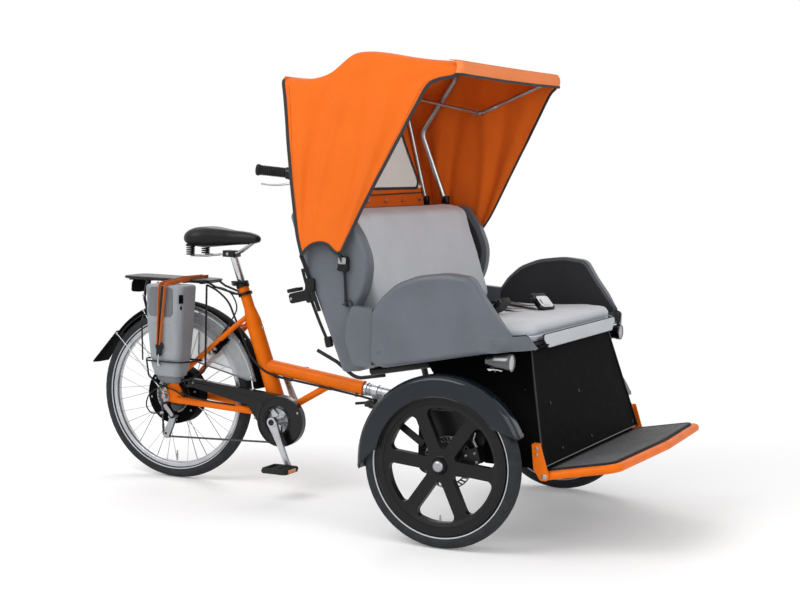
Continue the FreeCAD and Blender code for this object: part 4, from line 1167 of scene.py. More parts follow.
@dataclass
class Hood:
    """Folding hood: canopy over sides and roof, rear wall with a window, valance, bindings and straps.

    Attributes:
        finish: the vehicle's materials.
        half_low: half width at the low reference height.
        half_high: half width at the high reference height.
        low: low reference height.
        high: high reference height.
        cloth: thickness of the canvas.
        top: roof edge in side view, rear to front, as (x from the front axle, z).
        rear: rear edge, bottom to top.
        bottom: bottom edge between its two corners, rear to front.
        far_front: front edge of the left side, bottom to top; it is cut fuller than the right one.
        front: front edge of the right side.
        side_rows: rows of points up each side of the canopy.
        roof_rows: rows of points across its roof.
        columns: points in each of these rows, from rear to front.
        folds: soft folds as (bottom share, top share, width, height in metres).
    """

    finish: Finish
    half_low: float = 0.540
    half_high: float = 0.427
    low: float = 0.780
    high: float = 1.455
    cloth: float = 0.0022
    top: tuple = ((-.610, 1.396), (-.569, 1.394), (-.527, 1.393), (-.479, 1.403), (-.446, 1.419),
                  (-.421, 1.440), (-.396, 1.461), (-.377, 1.472), (-.352, 1.4755), (-.303, 1.474),
                  (-.181, 1.460), (-.075, 1.448), (-.016, 1.443))
    rear: tuple = ((-.483, .850), (-.509, .926), (-.544, 1.077), (-.568, 1.199), (-.592, 1.323),
                   (-.606, 1.380), (-.610, 1.396))
    bottom: tuple = ((-.483, .850), (-.468, .870), (-.449, .884), (-.422, .890), (-.398, .885), (-.376, .868),
                     (-.362, .861), (-.348, .866))
    far_front: tuple = ((-.348, .866), (-.285, .948), (-.225, 1.056), (-.155, 1.182), (-.105, 1.272),
                        (-.066, 1.344), (-.042, 1.384), (-.020, 1.405), (-.016, 1.443))
    front: tuple = ((-.348, .866), (-.295, .994), (-.265, 1.058), (-.222, 1.152), (-.181, 1.236),
                    (-.145, 1.312), (-.127, 1.350), (-.110, 1.374), (-.082, 1.388), (-.020, 1.403),
                    (-.016, 1.443))
    side_rows: int = 92
    roof_rows: int = 60
    columns: int = 96
    folds: tuple = ((.08, .14, .050, .0085), (.10, .30, .055, -.0065), (.30, .47, .060, .0070),
                    (.86, .52, .050, -.0060), (.93, .70, .050, .0080), (.97, .86, .045, -.0040))

    def half_width(self, height: Array) -> Array:
        """Half width at a height: straight between the two reference heights."""
        return self.half_low + (self.half_high - self.half_low) * (height - self.low) / (self.high - self.low)

    def side(self, rows: int, columns: int, edge: Sequence[tuple[float, float]]) -> Array:
        """One side of the canopy for +Y, with a slight inward sag and folds that fan from its corners.

        A fold adds height * exp(-((v - line(u)) / width)^2) * sin(pi u)^0.6 to y, where line(u) runs from the
        fold's share of the bottom to its share of the top.
        """
        flat = patch(side_line(self.bottom, columns), side_line(self.top, columns),
                     side_line(self.rear, rows), side_line(edge, rows))
        u, v = np.meshgrid(np.linspace(0, 1, rows), np.linspace(0, 1, columns), indexing="ij")
        across = self.half_width(flat[..., 1])
        body = np.sin(np.pi * np.clip(u, 0, 1)) ** 0.6
        across -= 0.003 * body * np.sin(np.pi * v) ** 0.5
        for start, end, width, height in self.folds:
            across += height * np.exp(-((v - start - (end - start) * u) / width) ** 2) * body
        across += ripples(flat, ((.0009, 31, 17, .4), (.0007, -23, 41, 2.0), (.0005, 71, 29, 1.1))) * body
        return np.stack([flat[..., 0], across, flat[..., 1]], -1)

    def canopy_grid(self) -> Array:
        """Whole canopy: right side up, roof across, left side down; the two roof edges are rounded.

        The roof's height is the roof edge's less a sag of (1 - (y / half)^2) times a depth, which is small at
        the bows.
        """
        side_rows, roof_rows, columns = self.side_rows, self.roof_rows, self.columns
        left = self.side(side_rows, columns, self.far_front)
        right = self.side(side_rows, columns, self.front) * np.array([1, -1, 1])
        edge = left[-1]
        share = np.linspace(-1, 1, roof_rows + 2)[1:-1, None]
        along = np.linspace(0, 1, columns)[None, :]
        bow = np.array([0.0, 0.12, 0.45, 0.55, 0.8, 1.0])
        depth = np.interp(along, bow, np.array([-.001, .012, .001, .003, .007, .000]))
        sag = depth * (1 - share ** 2) + ripples(np.stack(np.broadcast_arrays(share * 0.43, along), -1),
                                                 ((.0012, 9, 14, .3), (.0008, -17, 9, 1.7)))
        roof = np.stack([np.broadcast_to(edge[None, :, 0], (roof_rows, columns)), share * edge[None, :, 1],
                         edge[None, :, 2] - sag], -1)
        grid = np.concatenate([right, roof, left[::-1]])
        index = np.arange(len(grid))[:, None]
        near = np.exp(-((index - [side_rows, side_rows + roof_rows - 1]) / 5.0) ** 2).max(1)
        return softened(grid, 0.6 * near, 14)

    def build(self) -> list[Object]:
        """Make every piece of the hood."""
        grid = self.canopy_grid()
        canopy = piece("hood_canopy", "", [Surface(grid, wrap_columns=False, caps=False)], [self.finish.hood],
                       ["hood_front_cloth"], 60)
        if self.face_up(canopy) < 0:
            canopy.data.flip_normals()
        thickened(canopy, self.cloth)
        wall = self.rear_wall()
        binding = self.bindings(grid)
        seams = self.stitches(grid)
        valance, hem = self.valance()
        for obj in (canopy, binding, seams):
            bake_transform(obj)
        return [canopy, wall, binding, seams, valance, hem, *self.straps()]

    @staticmethod
    def face_up(obj: Object) -> float:
        """Upward part of the normal of the face nearest the roof's middle."""
        faces = obj.data.polygons
        return faces[len(faces) // 2].normal.z

    def rear_wall(self) -> Object:
        """Rear wall between the canopy's rear edges, with a bound window and a row of press studs."""
        rows, columns = 60, 80
        line = side_line(self.rear[1:], rows)
        line[:, 0] += 0.004
        inset, slack, waves = 0.006, 0.010, ((.0016, 21, 9, 0), (.0010, 37, -15, 1))
        share = np.linspace(-1, 1, columns)
        half = self.half_width(line[:, 1]) - inset
        y = half[:, None] * share[None, :]
        z = np.broadcast_to(line[:, 1:], y.shape)
        bulge = slack * np.sin(np.pi * np.linspace(0, 1, rows))[:, None] * (1 - share[None, :] ** 2)
        wave = ripples(np.stack([y, z], -1), waves)
        grid = np.stack([line[:, :1] - bulge + wave * (1 - share[None, :] ** 4), y, z], -1)
        sill, sill_half, head, head_half = 1.043, .462, 1.318, .335
        window = rounded_outline([(-sill_half, sill, .03), (sill_half, sill, .03), (head_half, head, .03),
                                  (-head_half, head, .03)], 6)
        cloth = piece("hood_rear_wall", "front_unit", [Surface(grid, wrap_columns=False, caps=False)],
                      [self.finish.hood, self.finish.window], ["hood_rear_cloth"], 60)
        middle = np.array([np.mean([cloth.data.vertices[i].co[:] for i in f.vertices], axis=0)
                           for f in cloth.data.polygons])
        slope = (sill_half - head_half) / (head - sill)
        inside = ((middle[:, 2] > sill) & (middle[:, 2] < head)
                  & (np.abs(middle[:, 1]) < sill_half - slope * (middle[:, 2] - sill)))
        cloth.data.polygons.foreach_set("material_index", inside.astype(np.int32))
        if cloth.data.polygons[0].normal.x > 0:
            cloth.data.flip_normals()
        thickened(cloth, 0.0016)
        frame_line = even_loop(window, 240)
        x = np.interp(frame_line[:, 1], line[:, 1], line[:, 0])
        at = np.interp(frame_line[:, 1], line[:, 1], np.linspace(0, 1, rows))
        share_y = frame_line[:, 0] / (self.half_width(frame_line[:, 1]) - inset)
        x = x - slack * np.sin(np.pi * at) * (1 - share_y ** 2)
        x = x + ripples(frame_line, waves) * (1 - share_y ** 4)
        loop = np.stack([x, frame_line[:, 0], frame_line[:, 1]], -1)
        trims = [swept(loop, rectangle(.012, .0052, .0022, 3), FORWARD, closed=True)]
        fold = [spot(-.5265, y, 1.0265 - .002 * math.cos(6 * y)) for y in np.linspace(-.47, .47, 25)]
        tape = swept(smooth_line(fold, 80), rectangle(.004, .0045, .0015, 2), FORWARD)
        studs = [turned([(-.001, .0052), (.0022, .0052), (.0034, .0034), (.0036, .0002)],
                        spot(-.5165, y, 1.0035), FORWARD, 20, slot=1) for y in np.linspace(-.42, .42, 7)]
        trim = piece("hood_window_binding", "front_unit", [*trims, tape, *studs],
                     [self.finish.binding, self.finish.steel])
        return cloth

    def bindings(self, grid: Array) -> Object:
        """Dark tape along the canopy's rear edges, bottom arches and front edges."""
        section = rectangle(.0105, .0056, .0024, 3)
        lines = []
        for column in (grid[:self.side_rows], grid[::-1][:self.side_rows]):
            lines += [column[::-1, 0], column[0, :], column[:86, -1]]
        surfaces = [swept(even_line(line, 150), section, LEFTWARD) for line in lines]
        return piece("hood_binding", "", surfaces, [self.finish.binding])

    def stitches(self, grid: Array) -> Object:
        """A row of stitches beside the rear binding and one beside the front binding, on both sides."""
        surfaces = []
        for column in (grid[:self.side_rows], grid[::-1][:self.side_rows]):
            sign = np.sign(column[40, 40, 1])
            for index, start, end in ((3, 4, 88), (-4, 4, 80)):
                surfaces += sewn(even_line(column[start:end, index] + np.array([0, sign * THREAD, 0]), 141),
                                 LEFTWARD)
        return piece("hood_stitches", "", surfaces, [self.finish.thread])

    def valance(self) -> tuple[Object, Object]:
        """Front valance: it wraps the front bow, turns back at its ends and has a stitched dark hem."""
        share = np.linspace(-1, 1, 90)
        down = np.linspace(0, 1, 14)[:, None]
        turned_back = .020 * np.clip((np.abs(share) - .96) / .04, 0, 1) ** 2
        profile = smooth_line([(-.030, 1.4475), (-.012, 1.4440), (-.004, 1.4330), (-.003, 1.4180),
                               (-.007, 1.4030)], 14)
        y = (.4395 - .17 * (profile[:, 1:] - 1.404)) * share[None]
        droop = .0035 * np.cos(share * math.pi / 2)
        wave = .0012 * np.sin(9.3 * share) + .0008 * np.sin(20.8 * share + 1)
        x = AXLE_X + profile[:, :1] - turned_back[None] + wave[None] * down
        z = profile[:, 1:] - droop[None] * np.linspace(.3, 1, 14)[:, None]
        grid = np.stack([x, y, z], -1)
        strip = piece("hood_valance", "hood_front", [Surface(grid, wrap_columns=False, caps=False)],
                      [self.finish.hood_pale], sharp=60)
        if strip.data.polygons[len(strip.data.polygons) // 2].normal.x < 0:
            strip.data.flip_normals()
        thickened(strip, self.cloth)
        hem = [swept(even_line(grid[-1], 90), rectangle(.0085, .0052, .002, 3), FORWARD)]
        hem += sewn(even_line(grid[4] + np.array([THREAD, 0, 0]), 161), slot=1)
        trim = piece("hood_valance_hem", "hood_front", hem, [self.finish.binding, self.finish.thread])
        return strip, trim

    def straps(self) -> list[Object]:
        """Webbing straps under the canopy's corners, with cam buckles."""
        made = []
        for name, side in SIDES.items():
            skin = side * .5045
            front = [spot(-.356, side * .5275, .868), spot(-.352, side * .520, .850), spot(-.346, skin, .815),
                     spot(-.341, skin, .760), spot(-.338, skin, .716)]
            rear = [spot(-.486, side * .527, .852), spot(-.478, side * .515, .820), spot(-.470, skin, .785),
                    spot(-.452, skin, .735), spot(-.430, skin, .680)]
            tail = [spot(-.338, skin, .716), spot(-.337, side * .512, .706), spot(-.343, side * .514, .709)]
            belt = rectangle(.024, .0022, .0010, 2)[:, ::-1]
            surfaces = [swept(smooth_line(line, count), belt, LEFTWARD)
                        for line, count in ((front, 40), (rear, 40), (tail, 14))]
            x, z = -.347, .829
            body = plate(rectangle(.034, .046, .006), .011, spot(x, skin + side * .007, z), slot=1)
            cam = plate(rectangle(.026, .020, .004), .006, spot(x, skin + side * .016, z + .010), slot=2)
            bar = plate(rectangle(.034, .007, .003), .006, spot(x, skin + side * .015, z - .016), slot=1)
            clip = plate(rectangle(.030, .040, .008), .012, spot(-.461, skin + side * .004, .760), slot=1)
            loop = tube([spot(-.332, skin, .722), spot(-.318, side * .506, .712),
                         spot(-.316, side * .506, .700), spot(-.334, side * .506, .702)], .0022, .004, 8,
                        slot=1)
            obj = piece(f"hood_straps_{name}", "front_unit", [*surfaces, body, cam, bar, clip, loop],
                        [self.finish.webbing, self.finish.gloss, self.finish.steel])
            bevelled(obj, .0009)
            made.append(obj)
        return made


# ---------------------------------------------------------------- seat


def mesh_points(mesh: Mesh) -> Array:
    """Vertex places of a mesh, shape (n, 3)."""
    flat = np.empty(len(mesh.vertices) * 3, np.float32)
    mesh.vertices.foreach_get("co", flat)
    return flat.reshape(-1, 3).astype(float)


def set_points(obj: Object, points: Array) -> None:
    """Put vertex places back into a mesh."""
    obj.data.vertices.foreach_set("co", points.astype(np.float32).ravel())
    obj.data.update()


def applied(obj: Object) -> None:
    """Replace a piece's mesh by what its modifiers make of it."""
    graph = bpy.context.evaluated_depsgraph_get()
    mesh = bpy.data.meshes.new_from_object(obj.evaluated_get(graph), depsgraph=graph)
    obj.modifiers.clear()
    obj.data = mesh


def stuffed(obj: Object, voxel: float, cap: float, pressure: float = 4.0, frames: int = 18) -> None:
    """Fill a closed cover: an even mesh swells under pressure, and no point moves further than the cap.

    Args:
        obj: the cover, slightly smaller than the finished pad.
        voxel: spacing of the even mesh.
        cap: furthest that a point moves.
        pressure: pressure of the filling.
        frames: steps of the simulation.
    """
    even = obj.modifiers.new("even_mesh", "REMESH")
    even.mode, even.voxel_size = "VOXEL", voxel
    bpy.context.view_layer.update()
    applied(obj)
    start = mesh_points(obj.data)
    cloth = obj.modifiers.new("filling", "CLOTH")
    cloth.settings.use_pressure = True
    cloth.settings.uniform_pressure_force = pressure
    cloth.settings.effector_weights.gravity = 0.0
    cloth.point_cache.frame_start, cloth.point_cache.frame_end = 1, frames
    for frame_number in range(1, frames + 1):
        bpy.context.scene.frame_set(frame_number)
    graph = bpy.context.evaluated_depsgraph_get()
    way = mesh_points(obj.evaluated_get(graph).to_mesh()) - start
    length = np.linalg.norm(way, axis=1, keepdims=True)
    way *= np.minimum(1.0, cap / np.maximum(length, 1e-9))
    obj.evaluated_get(graph).to_mesh_clear()
    obj.modifiers.remove(cloth)
    bpy.context.scene.frame_set(1)
    set_points(obj, start + way)
    obj.data.shade_smooth()


def rounded_off(obj: Object) -> None:
    """One live subdivision on a padded piece."""
    smooth = obj.modifiers.new("smooth_cover", "SUBSURF")
    smooth.levels = smooth.render_levels = 1


def pillow(section: Array, half: float, rounding: float) -> Surface:
    """A side-view outline carried across the vehicle, its ends rounded.

    At y the outline is scaled about its middle so that it shrinks by rounding * (1 - cos t) on every side,
    where y = half - rounding + rounding sin t near each end.

    Args:
        section: closed outline (x, z).
        half: half of the width.
        rounding: radius of the rounded ends.

    Returns:
        The closed surface.
    """
    turn = np.linspace(0, 0.47 * math.pi, 9)
    straight = np.linspace(-(half - rounding), half - rounding, 40)
    end = half - rounding + rounding * np.sin(turn[1:])
    y = np.concatenate([-end[::-1], straight, end])
    inset = rounding * (1 - np.cos(turn[1:]))
    inset = np.concatenate([inset[::-1], np.zeros(len(straight)), inset])
    middle = (section.max(0) + section.min(0)) / 2
    size = (section.max(0) - section.min(0)) / 2
    scale = 1 - inset[:, None, None] / size
    grid = middle + (section[None] - middle) * scale
    return Surface(np.stack([grid[..., 0], np.broadcast_to(y[:, None], grid.shape[:2]), grid[..., 1]], -1))


def front_corner(points: Array, half: float, radius: float) -> Array:
    """Both front corners rounded in plan: near |y| = half, x loses radius - sqrt(radius^2 - d^2)."""
    d = np.clip(np.abs(points[..., 1]) - (half - radius), 0, radius * 0.995)
    out = points.copy()
    loss = radius - np.sqrt(radius ** 2 - d ** 2)
    out[..., 0] -= loss * smooth_step((points[..., 0] - AXLE_X + 0.06) / 0.22)
    return out


def axle_outline(corners: Sequence[tuple[float, float, float]], steps: int = 8) -> Array:
    """A rounded side-view outline whose x is measured from the front axle."""
    return even_loop(rounded_outline(corners, steps), 120) + [AXLE_X, 0]


@dataclass
class Seat:
    """Cushions, linings and belts of the double seat.

    Attributes:
        finish: the vehicle's materials.
        half: half width of the cushions.
        lining: thickness of a lining panel.
        belt_width: width of the seat belts.
    """

    finish: Finish
    half: float = 0.4425
    lining: float = 0.006
    belt_width: float = 0.042

    def build(self) -> list[Object]:
        """Make every piece of the seat."""
        return [self.seat_pad(), self.seat_skirt(), self.seat_flap(), self.piping(), self.back_pad(),
                *self.linings(), self.gap_shade_strip(), *self.belts()]

    def pad_top(self, x: Array, y: Array) -> Array:
        """Height of the finished pad's top, which rises forwards and sinks where people sit."""
        return .6640 + .030 * (x - AXLE_X) - .0055 * self.seats(x, y)

    @staticmethod
    def seats(x: Array, y: Array) -> Array:
        """How near a place is to where a person sits, from 0 to 1: two bell curves, one for each person."""
        return np.exp(-((np.abs(y) - .21) / .15) ** 2) * np.exp(-((x - AXLE_X + .02) / .16) ** 2)

    def seat_pad(self) -> Object:
        """Thick top pad of the seat, stuffed."""
        section = axle_outline([(-.222, .622, .010), (.217, .632, .012), (.226, .652, .016),
                                (.212, .6655, .016), (-.205, .6525, .014), (-.222, .646, .010)])
        surface = pillow(section, self.half, .016)
        surface.grid = front_corner(surface.grid, self.half, .105)
        obj = piece("seat_cushion_pad", "front_unit", [surface], [self.finish.cushion],
                    ["seat_cushion"])
        stuffed(obj, .0085, .0055)
        p = mesh_points(obj.data)
        up = np.clip((p[:, 2] - .642) / .016, 0, 1)
        crease = ripples(p[:, :2], ((.0007, 23, 31, .2), (.0005, -47, 19, 1.3), (.0004, 71, -63, .4)))
        edge = np.exp(-((np.abs(p[:, 1]) - .40) / .035) ** 2) * np.sin(58 * p[:, 0] + 9 * p[:, 1]) * .0008
        p[:, 2] += up * (crease + edge - .0050 * self.seats(p[:, 0], p[:, 1]))
        set_points(obj, p)
        rounded_off(obj)
        return obj

    def seat_skirt(self) -> Object:
        """Lower part of the seat cushion, set back under the pad, with its flat front skirt."""
        floor = box_of("seat_cushion")[0][2]
        section = axle_outline([(-.218, floor + .004, .004), (.217, .6145, .006), (.2195, .634, .004),
                                (-.218, .6235, .004)])
        surface = pillow(section, self.half - .006, .008)
        surface.grid = front_corner(surface.grid, self.half - .006, .100)
        wave = ripples(surface.grid[..., 1:], ((.0005, 37, 60, 0), (.0004, 83, -40, 1)))
        surface.grid[..., 0] += wave * (surface.grid[..., 0] > AXLE_X + .1)
        obj = piece("seat_cushion_skirt", "front_unit", [surface], [self.finish.cushion],
                    sharp=50)
        return obj

    def seat_flap(self) -> Object:
        """Front skirt of the cushion: a flat flap that hangs over the tub's front rim, with a dark edge.

        Its outline widens upwards; the flap leans with the panel below it and has faint upright waves.
        """
        outline = rounded_outline([(-.364, .6370, .010), (-.310, .5965, .014), (.310, .5965, .014),
                                   (.364, .6370, .010)], 6)
        dense = even_loop(outline, 240)
        edge = np.concatenate([np.full((240, 1), AXLE_X + .2450), dense], -1)
        edge[:, 0] -= .10 * (edge[:, 2] - .5965)
        middle = np.array([AXLE_X + .2435, 0, .6165])
        shares = np.array([1.0, .9985, .994, .97, .85, .5, .1, .002])[:, None, None]
        bulge = np.array([-.0016, .0000, .0014, .0024, .0030, .0034, .0036, .0036])[:, None]
        front = middle + (edge - middle) * shares
        front[..., 0] += bulge + .0006 * np.sin(front[..., 1] * 61) * (bulge > .002)
        back = edge[None] + np.array([[-.0030, 0, 0]])
        rear = middle + (edge - middle) * np.array([[[.5]], [[.002]]]) - [.0030, 0, 0]
        grid = np.concatenate([rear[::-1], back, front])
        obj = piece("seat_cushion_flap", "front_unit", [Surface(grid)], [self.finish.cushion],
                    sharp=60)
        trim = swept(edge - [.0018, 0, 0], circle(.0026, 8), FORWARD, closed=True)
        piece("seat_flap_edging", "front_unit", [trim], [self.finish.rubber])
        return obj

    def rim_line(self, x: float, half: float, z_front: float) -> Array:
        """A line round the front of the cushion, from its right rear to its left rear corner."""
        y = np.linspace(-half, half, 181)
        rear = np.linspace(-.21, x, 40)[:-1]
        run = np.concatenate([np.stack([AXLE_X + rear, np.full_like(rear, -half)], -1),
                              np.stack([np.full_like(y, AXLE_X + x), y], -1),
                              np.stack([AXLE_X + rear[::-1], np.full_like(rear, half)], -1)])
        line = np.concatenate([run, z_front + .024 * (run[:, :1] - AXLE_X - x)], -1)
        return even_line(front_corner(line, half, .105), 260)

    def piping(self) -> Object:
        """Seam between the pad and the skirt: a thin cord."""
        line = self.rim_line(.2285, self.half + .0025, .6335)
        cord = swept(line, circle(.0019, 8))
        return piece("seat_cushion_piping", "front_unit", [cord], [self.finish.cushion])

    def gap_shade_strip(self) -> Object:
        """Black strip between the cushion and the tub's front rim: painted shade of the gap between them."""
        line = self.rim_line(.226, self.half + .004, .6105)
        # Painted shade: a black strip stands for the dark gap between the cushion and the tub's rim.
        lip = swept(line, rectangle(.008, .007, .003, 3))
        return piece("seat_gap_painted_shade", "front_unit", [lip], [self.finish.rubber])

    def back_pad(self) -> Object:
        """Back cushion: flat and firm, with soft edges, a slight crown and faint wrinkles near its top."""
        section = axle_outline([(-.234, .660, .024), (-.350, .981, .030), (-.385, .992, .014),
                                (-.450, .994, .010), (-.326, .660, .008)], 10)
        obj = piece("back_cushion_pad", "front_unit", [pillow(section, self.half - .001, .024)],
                    [self.finish.cushion], ["back_cushion"])
        stuffed(obj, .0085, .0050)
        p = mesh_points(obj.data)
        up = np.clip((p[:, 2] - .66) / .32, 0, 1)
        face = np.clip((p[:, 0] - (AXLE_X - .31 - .36 * (p[:, 2] - .66))) / .03, 0, 1)
        near_top = np.exp(-((up - .95) / .20) ** 2)
        fan = np.sin(64 * (p[:, 1] + .55 * (1 - up) * p[:, 1]) + 2.1 * np.sin(11 * p[:, 1]))
        faint = ripples(p[:, 1:], ((.0008, 13, 19, 0), (.0006, -29, 23, 1), (.0004, 57, 31, 2)))
        wrinkle = .0011 * near_top * fan + faint
        dent = -.0040 * np.exp(-((np.abs(p[:, 1]) - .22) / .14) ** 2) * np.exp(-((up - .35) / .3) ** 2)
        normal = np.array([.942, 0, .336])
        p += (face * (wrinkle + dent))[:, None] * normal
        set_points(obj, p)
        rounded_off(obj)
        return obj

    def linings(self) -> list[Object]:
        """Black panels inside the armrests and the wings."""
        arm = [(-.228, .628, .010), (-.228, .690, .035), (-.196, .733, .050), (-.152, .771, .10),
               (-.088, .797, .12), (0, .8085, .20), (.075, .801, .035), (.113, .745, .060),
               (.176, .663, .060), (.203, .638, .010)]
        wing = [(-.350, .625, .010), (-.331, .628, .012), (-.330, .690, .10), (-.296, .763, .12),
                (-.287, .838, .10), (-.316, .906, .10), (-.364, .970, .014), (-.440, .972, .010)]
        tub_inside = box_of("seat_tub")[1][1] - .046
        made = []
        for name, side in SIDES.items():
            surfaces = [plate(axle_outline(arm), self.lining,
                              [0, side * (tub_inside - self.lining / 2 + .001), 0]),
                        plate(axle_outline(wing), self.lining,
                              [0, side * (.456 - self.lining / 2 + .001), 0])]
            obj = piece(f"seat_lining_{name}", "front_unit", surfaces, [self.finish.lining])
            made.append(bevelled(obj, .0022, 3))
        return made

    def belts(self) -> list[Object]:
        """Two lap belts on the cushion: one ends in a plated tongue plate, the other in a black buckle."""
        webbing = rectangle(.0018, self.belt_width, .0008, 2)

        def laid(path: Sequence[tuple[float, float, float]]) -> Surface:
            """A belt on the pad through (x, y, height above the pad)."""
            line = smooth_line([(AXLE_X + x, y, float(self.pad_top(AXLE_X + x, np.array(y))) + lift)
                                for x, y, lift in path], 70)
            return swept(line, webbing[:, ::-1])

        long = laid([(-.214, .395, -.004), (-.19, .365, .006), (-.13, .318, .0085), (-.06, .262, .0075),
                     (.0, .214, .011), (.028, .192, .014)])
        under = laid([(-.214, .215, -.004), (-.18, .200, .006), (-.11, .150, .0085), (-.04, .085, .0075),
                      (.01, .035, .010)])
        short = laid([(-.214, -.010, -.004), (-.18, -.015, .006), (-.12, -.030, .0075), (-.07, -.045, .009),
                      (-.035, -.055, .013)])
        z = float(self.pad_top(AXLE_X + .05, np.array(.17)))
        turn, tilt = spin_about(UPWARD, math.radians(-30)), spin_about(LEFTWARD, math.radians(38))
        way = turn @ tilt
        place = spot(.052, .168, z + .026)

        def block(outline: Array, thick: float, centre: Sequence[float], slot: int) -> Surface:
            """A plate on the buckle, in its own axes."""
            return plate(outline, thick, np.array(centre), FORWARD, LEFTWARD, slot).moved(way, place)

        buckle = [block(rectangle(.066, .062, .010), .013, (0, 0, -.004), 1),
                  block(rectangle(.052, .050, .011), .005, (.002, 0, .0045), 2),
                  block(rectangle(.034, .030, .007), .003, (.004, 0, .0076), 2),
                  block(rectangle(.012, .056, .004), .010, (-.036, 0, -.002), 1),
                  block(rectangle(.018, .050, .004), .008, (.040, 0, -.004), 1)]
        plated = piece("seat_belt_left", "front_unit", [long, under, *buckle],
                       [self.finish.webbing, self.finish.gloss, self.finish.chrome])
        z = float(self.pad_top(AXLE_X - .01, np.array(-.07)))
        way = spin_about(UPWARD, math.radians(-24)) @ spin_about(LEFTWARD, math.radians(-40))
        place = spot(-.006, -.070, z + .030)
        body = [block(rectangle(.060, .046, .010), .017, (0, 0, 0), 1),
                block(rectangle(.020, .030, .005), .004, (.014, 0, .0095), 2),
                block(rectangle(.016, .036, .004), .010, (-.034, 0, 0), 1)]
        dark = piece("seat_belt_right", "front_unit", [short, *body],
                     [self.finish.webbing, self.finish.gloss, self.finish.panel])
        return [bevelled(plated, .0008), bevelled(dark, .0012)]


# ---------------------------------------------------------------- wheels


def arc_line(centre: Array, radius: float, start: float, end: float, count: int) -> Array:
    """An upright arc: centre + radius (cos t forward + sin t upward), with t from start to end in degrees."""
    t = np.radians(np.linspace(start, end, count))[:, None]
    return centre + radius * (np.cos(t) * FORWARD + np.sin(t) * UPWARD)


def gear(radius: float, teeth: int, depth: float, thickness: float, centre: Array, slot: int = 0) -> Surface:
    """A toothed disc: its radius swings by half the depth with a flattened cosine, once for each tooth."""
    t = np.linspace(0, 2 * math.pi, teeth * 6, endpoint=False)
    r = radius - depth / 2 + depth / 2 * np.clip(1.6 * np.cos(teeth * t), -1, 1)
    return plate(np.stack([r * np.cos(t), r * np.sin(t)], -1), thickness, centre, slot=slot)


def band(inner: float, outer: float, low: float, high: float, centre: Array, around: int = 96) -> Surface:
    """A flat ring about a crosswise axis, between two radii and two distances along the axis."""
    return ring([(low, inner), (high, inner), (high, outer), (low, outer)], centre, LEFTWARD, around)


